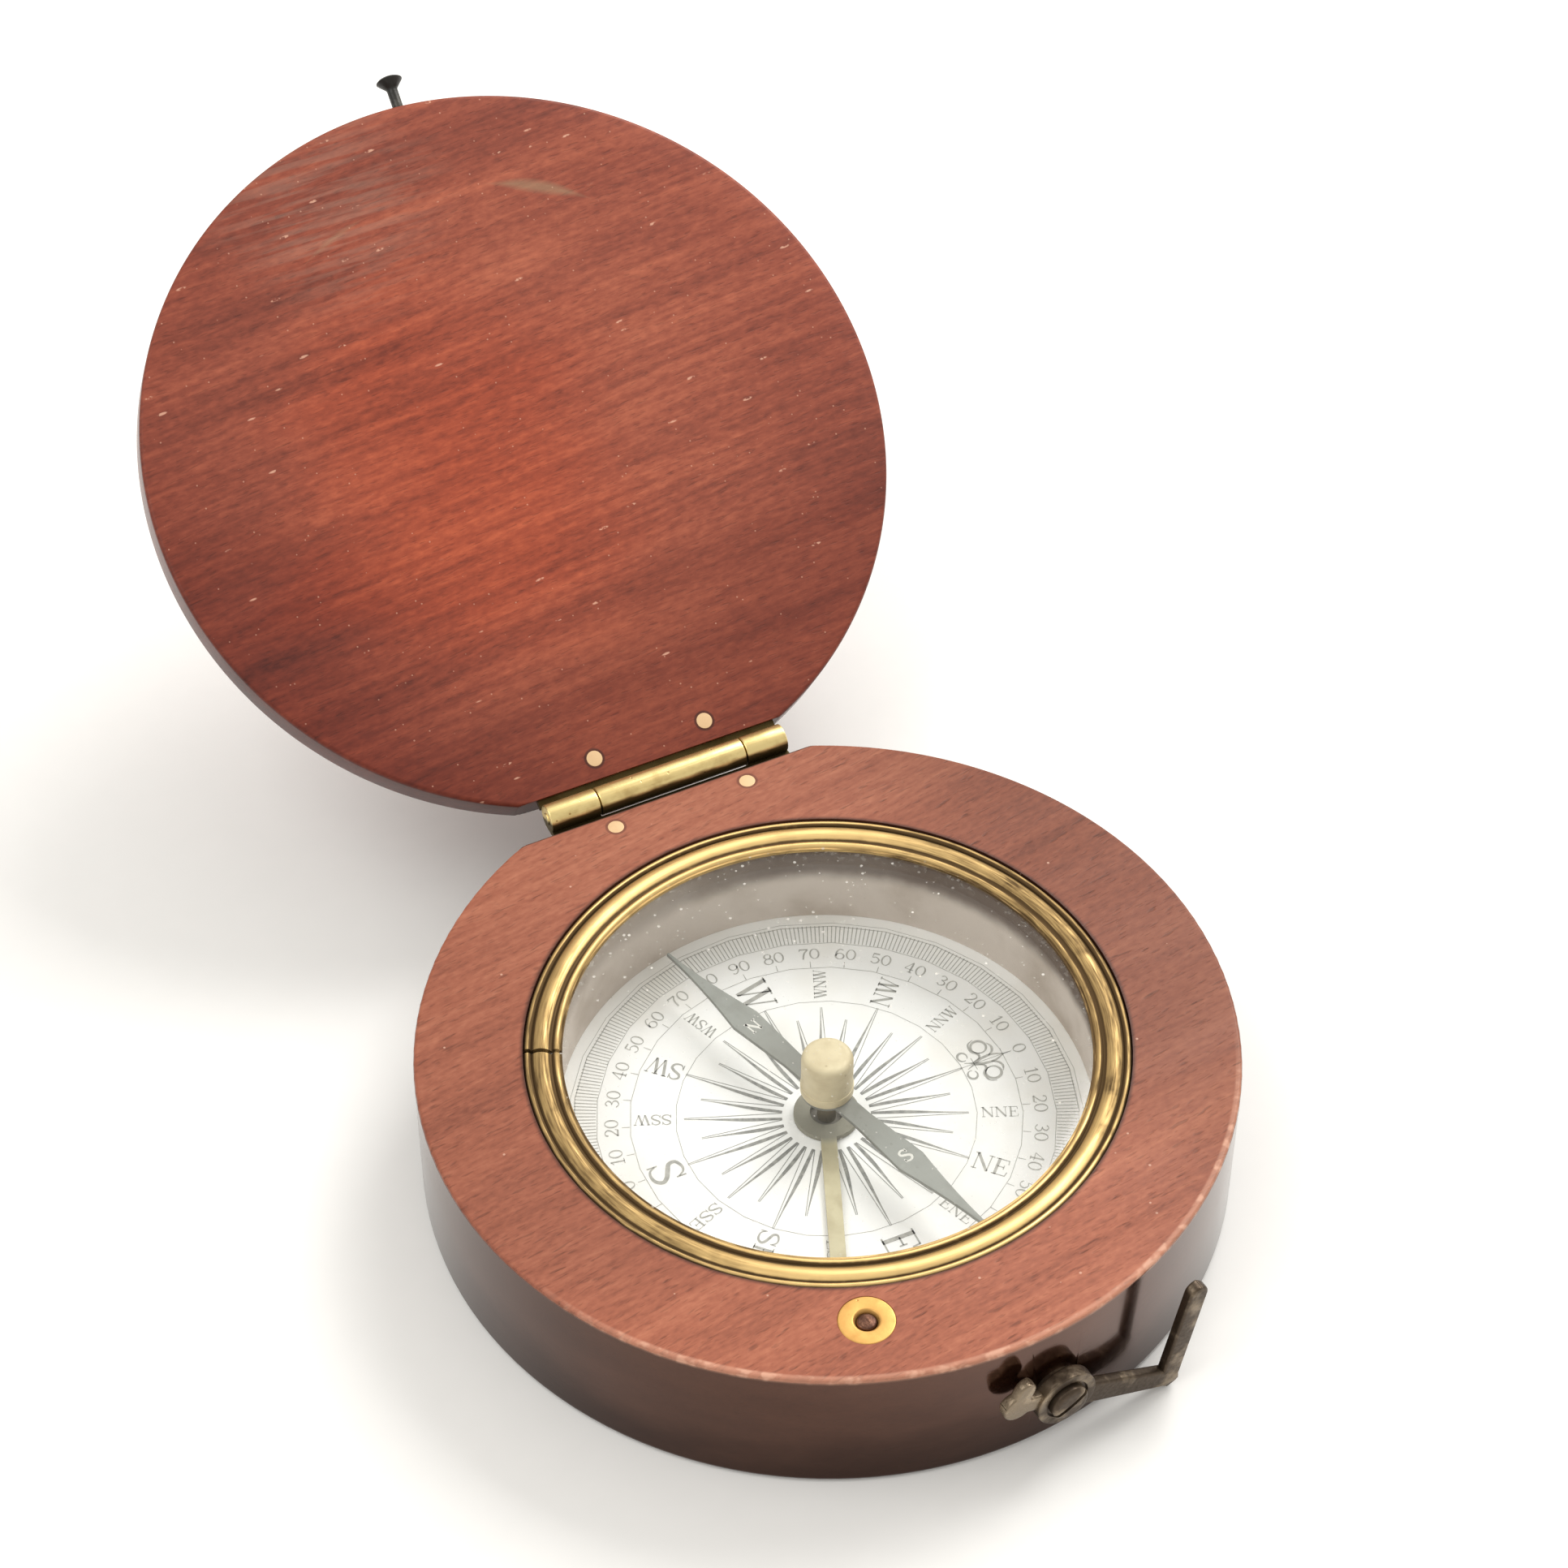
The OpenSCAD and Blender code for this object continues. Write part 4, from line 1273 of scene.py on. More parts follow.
class Print:
    """Flat marks, gathered as rows of four corners and made one piece."""

    def __init__(self, level: float) -> None:
        """Starts empty at a height in millimetres."""
        self.level = level
        self.corners: list[np.ndarray] = []

    def ribbon(self, path: np.ndarray, width: Union[float, np.ndarray]) -> None:
        """Adds a flat ribbon: its path plus and minus half its width across it.

        Args:
            path: the points of its middle.
            width: its width, for all points or for each.
        """
        along = np.gradient(path, axis=0)
        along = along / np.linalg.norm(along, axis=1, keepdims=True)
        half = np.broadcast_to(width, len(path))[:, None] / 2
        across = np.stack([-along[:, 1], along[:, 0]], axis=1) * half
        left, right = path + across, path - across
        self.corners.append(np.stack([left[:-1], right[:-1], right[1:], left[1:]], axis=1))

    def ring(self, radius: float, width: float) -> None:
        """Adds a circle about the middle."""
        self.ribbon(arc(0, 0, radius, radius, 0, 360 * 721 / 720), width)

    def spokes(
        self, angles: np.ndarray, inner: float, outer: float, widths: tuple[float, float]
    ) -> None:
        """Adds straight radial marks.

        Args:
            angles: their directions in degrees.
            inner: where they start.
            outer: where they end.
            widths: their widths at the start and at the end.
        """
        turn = np.radians(angles)
        out = np.stack([np.cos(turn), np.sin(turn)], axis=1)
        left = np.stack([-np.sin(turn), np.cos(turn)], axis=1)
        near, far = (width / 2 for width in widths)
        sides = ((inner, near), (inner, -near), (outer, -far), (outer, far))
        corners = [out * radius + left * half for radius, half in sides]
        self.corners.append(np.stack(corners, axis=1))

    def write(
        self,
        text: str,
        middle: np.ndarray,
        up: np.ndarray,
        height: float,
        length: float | None = None,
        weights: tuple[float, float] = (0.14, 0.05),
    ) -> None:
        """Adds a text.

        Args:
            text: the text.
            middle: where its middle lies.
            up: the direction of its top.
            height: its height.
            length: its length, where it isn't the natural one.
            weights: thick and thin stroke as shares of the height.
        """
        right = np.array([up[1], -up[0]])
        total = sum(GLYPHS[letter][0] for letter in text)
        wide = length / total if length else height
        start = -total / 2
        heavy, light = weights
        for letter in text:
            advance, strokes = GLYPHS[letter]
            for pen, path in strokes:
                width = (light + (heavy - light) * pen.share(path)) * height
                x, y = (path + [start, -0.5])[:, :, None].swapaxes(0, 1)
                self.ribbon(middle + x * wide * right + y * height * up, width)
            start += advance

    def piece(self, name: str, finish: bpy.types.Material) -> bpy.types.Object:
        """Makes all marks one piece.

        Args:
            name: the piece's name.
            finish: its material.

        Returns:
            The piece.
        """
        flat = np.concatenate(self.corners).reshape(-1, 2)
        points = np.column_stack([flat, np.full(len(flat), self.level)])
        return build(name, points, np.arange(len(points)).reshape(-1, 4), finish)


# ---------------------------------------------------------------- sub-assemblies


@dataclass
class WoodenCase:
    """The turned case with the lining of its bowl."""

    rounding: float = 0.22
    wall_rounding: float = 0.1
    wood: CaseWood = CaseWood(
        "mahogany_case", srgb(116, 61, 44), srgb(161, 93, 69), srgb(190, 120, 91),
        tilt=8.0, bands=0.5, lines=0.6, fleck=0.48, pins=CASE_PINS,
    )
    lining: Paper = Paper(
        "lining_paper", srgb(216, 206, 197), srgb(172, 158, 144), 0.6, top_line=14.0
    )

    def build(self) -> None:
        """Makes the case and its lining."""
        case = softened("case_body", "turned_case", self.rounding, self.wood.make())
        settle(case, Body.CASE, "mahogany_case", "case_body")
        wall = softened("lining_ring", "bowl_lining", self.wall_rounding, self.lining.make())
        settle(wall, Body.CASE, "lining_paper", "lining_ring")


@dataclass
class Lid:
    """The turned lid with its catch pin, drawn closed and swung open."""

    radius: float = 40.25
    inner: float = LID_INNER
    outer: float = 21.4
    flat: float = 37.3
    roundings: tuple[float, float] = (0.5, 1.4)
    steps: int = 480
    sharp: float = 14.0
    catch_angle: float = -86.8
    catch_z: float = 19.0
    stud: Places = (
        (0.0, 35.25), (0.6, 35.25), (0.6, 43.1), (1.5, 44.1), (1.2, 44.34), (0.0, 44.34)
    )
    stud_roundings: tuple[float, ...] = (0.0, 0.1, 0.2, 0.1, 0.12, 0.0)
    wood: LidWood = LidWood(
        "mahogany_lid", srgb(94, 41, 30), srgb(143, 71, 51), srgb(180, 100, 72),
        tilt=-4.5, bands=0.75, lines=0.8, fleck=0.2, pins=LID_PINS,
    )
    metal: DarkIron = DarkIron("dark_metal_lid", srgb(40, 38, 34), srgb(84, 81, 74), 0.25)

    def panel(self) -> Shape:
        """The lid's disc with its sawn flat.

        Its section runs from the middle of the inner face over a quarter
        circle to the side and over a larger one to the outer face. It is
        carried round the axis, and no point goes further out than the flat.

        Returns:
            The shape of the closed lid.
        """
        small, large = self.roundings
        bend = np.linspace(0, math.pi / 2, 11)[:, None]
        face = np.array([0.0, 12.0, 24.0, 33.0, 37.0])[:, None]
        near = np.hstack([small * np.sin(bend), small - small * np.cos(bend)])
        far = np.hstack([large * np.cos(bend), large * np.sin(bend) - large])
        section = np.vstack(
            [
                np.hstack([face, self.inner + 0 * face]),
                near + [self.radius - small, self.inner],
                far + [self.radius - large, self.outer],
                np.hstack([face[::-1], self.outer + 0 * face]),
            ]
        )
        corner = math.asin(self.flat / self.radius)
        even = np.linspace(0, 2 * math.pi, self.steps, endpoint=False)
        angle = np.sort(np.append(even, [corner, math.pi - corner]))
        reach = np.minimum(section[:, :1], self.flat / np.maximum(np.sin(angle), 0.5))
        height = section[:, 1:] + 0 * angle
        points = np.stack([reach * np.cos(angle), reach * np.sin(angle), height], axis=-1)
        return points.reshape(-1, 3), quads(len(section), len(angle), closed=True)

    def build(self) -> None:
        """Makes the lid and its pin, whose head flares like a cone with a crown."""
        panel = raised("turned_lid", swung(self.panel()), self.wood.make(), self.sharp)
        settle(panel, Body.LID, "mahogany_lid", "lid_panel")
        turn = math.radians(self.catch_angle)
        pin = Turning((0.0, 0.0, self.catch_z), (math.cos(turn), math.sin(turn), 0.0))
        section = rounded(self.stud, self.stud_roundings)
        made = raised("catch_stud", swung(pin.turned(section)), self.metal.make())
        settle(made, Body.LID, "dark_metal", "catch_pin")


@dataclass
class Hinge:
    """Knuckles, plates, wire and the flush pins of the leaves."""

    barrel: float = 1.5
    left: tuple[float, float] = (-12.9, -7.3)
    middle: tuple[float, float] = (-7.18, 9.48)
    right: tuple[float, float] = (9.6, 14.3)
    plate: tuple[float, float] = (31.7, 39.57)
    plate_end: float = 38.2
    strap_start: float = 38.1
    thick: float = 0.7
    wire: float = 0.65
    wire_past: float = 0.1
    pin_radius: float = 0.85
    case_depth: tuple[float, float] = (9.7, CASE_TOP)
    lid_depth: tuple[float, float] = (LID_INNER - 0.03, 19.8)
    brass: HingeBrass = HingeBrass(
        "hinge_brass", srgb(246, 222, 156), srgb(140, 104, 50), 0.34, (60.0, 2400.0, 2400.0), 0.4,
        dull=srgb(52, 38, 18),
    )
    pins: Brass = Brass(
        "pin_brass", srgb(218, 184, 140), srgb(192, 154, 112), 0.5, (500.0, 500.0, 500.0), 0.3, 0.2
    )

    def axis(self) -> Turning:
        """The line of the barrel."""
        return Turning((0.0, HINGE_AXIS[1] / MM, HINGE_AXIS[2] / MM), (1.0, 0.0, 0.0))

    def leaf(self, *stretches: tuple[float, float]) -> Shape:
        """One leaf as it lies on the case's side.

        Args:
            stretches: where its knuckles start and end.

        Returns:
            Its plate, which is let into the wood, with straps that run under
            and into its knuckles.
        """
        axis = self.axis()
        low = axis.foot[2] - self.barrel
        high = low + self.thick
        shapes = [axis.rod(self.barrel, start, end, 0.16) for start, end in stretches]
        strips = [(self.left[0], self.right[1], self.plate[0], self.plate_end)]
        strips += [(x0 + 0.03, x1 - 0.03, self.strap_start, self.plate[1]) for x0, x1 in stretches]
        for x0, x1, y0, y1 in strips:
            section = rounded(((y0, low + 0.01), (y1, low + 0.01), (y1, high), (y0, high)), 0.08)
            middle = section.mean(axis=0)
            rings = np.stack([middle + 0 * section, section, section, middle + 0 * section])
            across = np.array([x0, x0, x1, x1])[:, None] + 0 * section[None, :, 0]
            points = np.concatenate([across[..., None], rings], axis=-1).reshape(-1, 3)
            shapes.append((points, quads(4, len(section), closed=True)))
        return gather(*shapes)

    def mirrored(self, shape: Shape) -> Shape:
        """Mirrors a shape about the hinge line and swings it with the lid."""
        points, faces = shape
        return swung((points * [1, 1, -1] + [0, 0, 2 * HINGE_AXIS[2] / MM], faces))

    def dots(self, places: Places, low: float, high: float) -> Shape:
        """Upright round pins at places, between two heights."""
        pins = (Turning((x, y, 0.0)).rod(self.pin_radius, low, high, 0.05) for x, y in places)
        return gather(*pins)

    def build(self) -> None:
        """Makes both halves of the hinge."""
        metal, paint = self.brass.make(), self.pins.make()
        start, end = self.left[0] - self.wire_past, self.right[1] + self.wire_past
        case_leaf = self.leaf(self.left, self.right)
        lid_leaf = self.mirrored(self.leaf(self.middle))
        wire = self.axis().rod(self.wire, start, end, 0.08)
        case_pins = self.dots(CASE_PINS, *self.case_depth)
        lid_pins = swung(self.dots(LID_PINS, *self.lid_depth))
        for name, shape, body, slot, finish, node in (
            ("case_knuckles", case_leaf, Body.CASE, "hinge_brass", metal, "case_hinge_leaf"),
            ("lid_knuckle", lid_leaf, Body.LID, "hinge_brass", metal, "lid_hinge_leaf"),
            ("hinge_pin_wire", wire, Body.CASE, "hinge_brass", metal, "hinge_wire"),
            ("case_pin_dots", case_pins, Body.CASE, "pin_brass", paint, "case_leaf_pins"),
            ("lid_pin_dots", lid_pins, Body.LID, "pin_brass", paint, "lid_leaf_pins"),
        ):
            settle(raised(name, shape, finish), body, slot, node)


@dataclass
class Bezel:
    """The split brass ring over the glass, with three beads round it."""

    outer: float = 30.1
    inner: float = 26.3
    base: float = 15.5
    top: float = CASE_TOP
    plate: float = 0.36
    split_at: float = 156.3
    split: float = 0.5
    steps: int = 360
    dent: float = 0.015
    metal: BezelBrass = BezelBrass("bezel_brass")
    glass: CoverGlass = CoverGlass("cover_glass")

    def profile(self) -> np.ndarray:
        """Section of the ring.

        Its upper side is the highest of the plate and three round beads.

        Returns:
            The section's points as distance from the axis and height.
        """
        beads = np.array(
            [
                [self.outer - 0.36, self.top - 0.40, 0.36],
                [self.outer - 1.67, self.top - 1.35, 1.35],
                [self.inner + 0.62, self.top - 0.56, 0.42],
            ]
        )
        spread = np.cos(np.linspace(0, math.pi, 19))
        across = np.append(beads[:, :1] + beads[:, 2:] * spread, [self.outer, self.inner])
        across = np.unique(across)
        across = across[(across >= self.inner) & (across <= self.outer)][::-1]
        inside = np.clip(beads[:, 2:] ** 2 - (across - beads[:, :1]) ** 2, 0, None)
        tops = np.where(inside > 0, beads[:, 1:2] + np.sqrt(inside), self.base + self.plate)
        height = np.maximum(tops.max(axis=0), self.base + self.plate)
        upper = np.stack([across, height], axis=1)
        lower = [[self.inner, self.base], [self.outer, self.base], [self.outer, self.top - 0.40]]
        return np.vstack([upper, lower])

    def build(self) -> None:
        """Makes the ring: its section is carried round the axis and dented a little.

        The height is lowered by up to twice the dent by two slow waves of the
        angle.
        """
        section = self.profile()
        gap = self.split / self.outer / 2
        start = math.radians(self.split_at)
        angle = np.linspace(start + gap, start + 2 * math.pi - gap, self.steps)[:, None]
        wave = self.dent * (np.sin(5 * angle + 1.0) * np.sin(17 * angle) - 1.0)
        distance, height = section.T
        height = height + wave * (height - self.base) / (self.top - self.base)
        points = np.stack([distance * np.cos(angle), distance * np.sin(angle), height], axis=-1)
        count = len(section)
        faces = quads(self.steps, count, closed=True).tolist()
        first = list(range(count))
        faces += [first[::-1], [number + (self.steps - 1) * count for number in first]]
        ring = raised("bezel", (points.reshape(-1, 3), faces), self.metal.make())
        settle(ring, Body.CASE, "bezel_brass", "bezel_ring")
        keep("glass", self.glass.make())


@dataclass
class Dial:
    """The printed card: rose, lettered points, degrees and ticks."""

    level: float = 4.67
    north: float = -1.6
    rose: tuple[float, float] = (4.5, 15.25)
    letters: tuple[float, float] = (15.25, 19.9)
    ticks: tuple[float, float] = (23.3, 25.6)
    tens: tuple[float, float] = (19.9, 20.7)
    figures: float = 21.75
    figure: float = 1.45
    initial: float = 3.5
    pair: float = 2.1
    triple: float = 1.3
    leaf_at: float = 17.6
    rings: Places = ((15.25, 0.06), (19.9, 0.07), (23.3, 0.07), (25.6, 0.09), (26.05, 0.06))
    paper: Paper = Paper("dial_card")
    ink: Ink = Ink("dial_ink")

    def out(self, bearing: float) -> np.ndarray:
        """Direction of a bearing, in degrees from north."""
        turn = math.radians(self.north - bearing)
        return np.array([math.cos(turn), math.sin(turn)])

    def rays(self, marks: Print) -> None:
        """Adds 32 rays: a shaded half that swells and narrows, and a thin line beside it.

        Args:
            marks: the print.
        """
        for number in range(32):
            out = self.out(number * 11.25)
            side = np.array([-out[1], out[0]])
            end = self.rose[1] if number % 4 == 0 else 14.4 if number % 2 == 0 else 12.9
            share = np.linspace(0, 1, 14)[:, None]
            reach = self.rose[0] + (end - self.rose[0]) * share
            hump = np.sin(math.pi * share**0.8) ** 2
            swell = 0.07 + (0.23 + 0.3 * hump) * (1 - share)
            open_by = 0.24 * (1 - share) + 0.08
            marks.ribbon(out * reach + side * (swell / 2 + open_by * 0.3), swell[:, 0])
            marks.ribbon(out * reach - side * (open_by + 0.16 * (1 - share)), 0.08)

    def ornament(self, marks: Print) -> None:
        """Adds the curled leaf that marks north.

        Args:
            marks: the print.
        """
        up = self.out(0.0)
        right = np.array([up[1], -up[0]])
        blade = curve((0.0, 2.4), (0.42, 1.2), (0.36, 0.0), (0.10, -0.9), (0.45, -1.9))
        ring = arc(1.8, 0.35, 0.8, 0.8, 215, -170)
        stem = curve((0.2, -1.0), (0.5, -0.2), (1.0, -0.1), (1.6, -0.6), (2.5, -0.5), (2.9, 0.2))
        loop = arc(1.25, -1.75, 0.55, 0.5, 130, -200)
        leaf = curve((0.4, 0.8), (0.8, 1.4), (1.4, 1.6), (2.0, 1.35))
        sided = ((blade, 0.24), (ring, 0.24), (stem, 0.22), (loop, 0.20), (leaf, 0.2))
        shapes = [(path * [side, 1], wide) for path, wide in sided for side in (1, -1)]
        shapes += [(line(0, -2.6, 0, 3.2), 0.08), (line(-0.8, -1.0, 0.8, -1.0), 0.2)]
        for path, wide in shapes:
            swell = 0.06 + wide * np.sin(np.linspace(0.15, 0.97 * math.pi, len(path))) ** 1.2
            marks.ribbon(up * self.leaf_at + path[:, :1] * right + path[:, 1:] * up, swell)

    def build(self) -> None:
        """Makes all print on the card one piece of thin ink."""
        marks = Print(self.level)
        every = np.arange(360.0)
        for radius, width in self.rings:
            marks.ring(radius, width)
        marks.spokes(self.north - every, *self.ticks, (0.10, 0.10))
        marks.spokes(self.north - every[::10], *self.tens, (0.10, 0.06))
        self.rays(marks)
        self.ornament(marks)
        for bearing in range(0, 360, 10):
            out = self.out(bearing)
            value = 90 - abs(bearing % 180 - 90)
            marks.write(str(value), out * self.figures, out, self.figure, weights=(0.12, 0.055))
        middle = sum(self.letters) / 2
        for text, bearing, length in (("S", 180, 2.7), ("W", 270, 3.9), ("E", 90, 2.7)):
            place = self.out(bearing) * middle
            marks.write(text, place, self.out(0.0), self.initial, length)
        names = ("NNE", "NE", "ENE", "ESE", "SE", "SSE", "SSW", "SW", "WSW", "WNW", "NW", "NNW")
        places = (22.5, 45, 67.5, 112.5, 135, 157.5, 202.5, 225, 247.5, 292.5, 315, 337.5)
        for text, bearing in zip(names, places):
            height = self.pair if len(text) == 2 else self.triple
            marks.write(text, self.out(bearing) * middle, self.out(bearing - 90), height, 3.9)
        settle(marks.piece("dial_print", self.ink.make()), Body.CASE, "dial_card")
        keep("compass_card", self.paper.make())


@dataclass
class NeedleAssembly:
    """The needle, its cap, and the post and point below."""

    heading: float = 106.2
    face: float = 9.01
    rounding: float = 0.08
    letters: tuple[tuple[str, float], ...] = (("N", 11.0), ("S", -11.5))
    letter_height: float = 1.5
    cap: Places = (
        (1.3, 8.55), (1.9, 8.55), (1.9, 9.0), (2.7, 9.0), (2.7, 10.0),
        (2.62, 10.02), (2.62, 14.25), (0.0, 14.25), (0.0, 12.9), (1.3, 12.9),
    )
    cap_roundings: tuple[float, ...] = (0.0, 0.04, 0.0, 0.08, 0.05, 0.02, 0.85, 0.0, 0.0, 0.0)
    steel: Steel = Steel("needle_steel", turn=106.2)
    brass: Brass = Brass(
        "inner_brass", srgb(212, 200, 166), srgb(184, 168, 132), 0.5, (700.0, 700.0, 1500.0),
        share=0.35, metal=0.1,
    )
    post: Brass = Brass(
        "post_brass", srgb(128, 118, 92), srgb(90, 82, 62), 0.5, (900.0, 900.0, 900.0), 0.4, 0.6
    )
    point: Steel = Steel("pivot_steel", srgb(150, 150, 148))
    marks: Ink = Ink("needle_mark_ink", srgb(226, 226, 220), srgb(198, 198, 192))

    def build(self) -> None:
        """Makes the needle with its marks and the pieces on its axis."""
        needle = softened("needle", "needle_blade", self.rounding, self.steel.make())
        settle(needle, Body.NEEDLE, "needle_steel", "needle")
        section = rounded(self.cap, self.cap_roundings, 8)
        cap = raised("turned_cap", Turning((0.0, 0.0, 0.0)).turned(section), self.brass.make())
        settle(cap, Body.NEEDLE, "inner_brass", "needle_cap")
        turn = math.radians(self.heading)
        ahead = np.array([math.cos(turn), math.sin(turn)])
        marks = Print(self.face)
        for letter, place in self.letters:
            marks.write(letter, ahead * place, ahead, self.letter_height, weights=(0.2, 0.12))
        settle(marks.piece("needle_marks", self.marks.make()), Body.NEEDLE, "needle_steel")
        keep("pivot_post", self.post.make())
        steel = self.point.make()
        keep("pivot_point", steel)
        keep("lever_pin", steel)
        keep("cap_jewel", Stone("jewel_stone").make())


@dataclass
class Lifter:
    """The lever under the needle, and the button in its eyelet."""

    button_angle: float = -110.25
    button_place: float = 34.1
    rounding: float = 0.1
    ring: Places = (
        (1.05, 9.0), (1.75, 9.0), (1.75, 15.8), (2.8, 15.8), (2.8, CASE_TOP), (1.28, CASE_TOP),
        (1.05, 15.9),
    )
    ring_roundings: tuple[float, ...] = (0.0, 0.1, 0.05, 0.04, 0.18, 0.14, 0.1)
    collar: tuple[float, float] = (1.1, 1.8)
    button_top: float = 16.15
    button_roundings: tuple[float, ...] = (0.0, 0.9, 0.0, 0.08, 0.08, 0.0, 0.32, 0.0)
    lever: LeverBrass = LeverBrass(
        "lever_brass", srgb(190, 183, 152), srgb(164, 152, 120), 0.5, (800.0, 800.0, 800.0),
        share=0.3, metal=0.3,
    )
    eyelet: Brass = Brass(
        "eyelet_brass", srgb(212, 164, 92), srgb(168, 120, 60), 0.42, (700.0, 700.0, 700.0),
        share=0.3, metal=0.7,
    )
    button: DarkIron = DarkIron("button_brass", srgb(84, 52, 40), srgb(126, 88, 66))

    def build(self) -> None:
        """Makes the lever, the eyelet and the button, which starts at its node's foot."""
        lever = softened("lifter_lever", "lifting_lever", self.rounding, self.lever.make())
        settle(lever, Body.LIFTER, "inner_brass", "lifter_lever")
        turn, far = math.radians(self.button_angle), self.button_place
        axis = Turning((far * math.cos(turn), far * math.sin(turn), 0.0))
        section = rounded(self.ring, self.ring_roundings)
        eyelet = raised("button_eyelet", axis.turned(section), self.eyelet.make())
        settle(eyelet, Body.CASE, "eyelet_brass", "lock_eyelet")
        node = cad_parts["lock_button"]
        foot = min((node.matrix_world @ Vector(corner)).z for corner in node.bound_box) / MM
        low, high = (foot + rise for rise in self.collar)
        corners = ((0.0, foot), (1.0, foot), (1.0, low), (1.5, low), (1.5, high), (1.0, high))
        corners += ((1.0, self.button_top), (0.0, self.button_top))
        section = rounded(corners, self.button_roundings)
        button = raised("press_button", axis.turned(section), self.button.make())
        settle(button, Body.BUTTON, "button_brass", "lock_button")


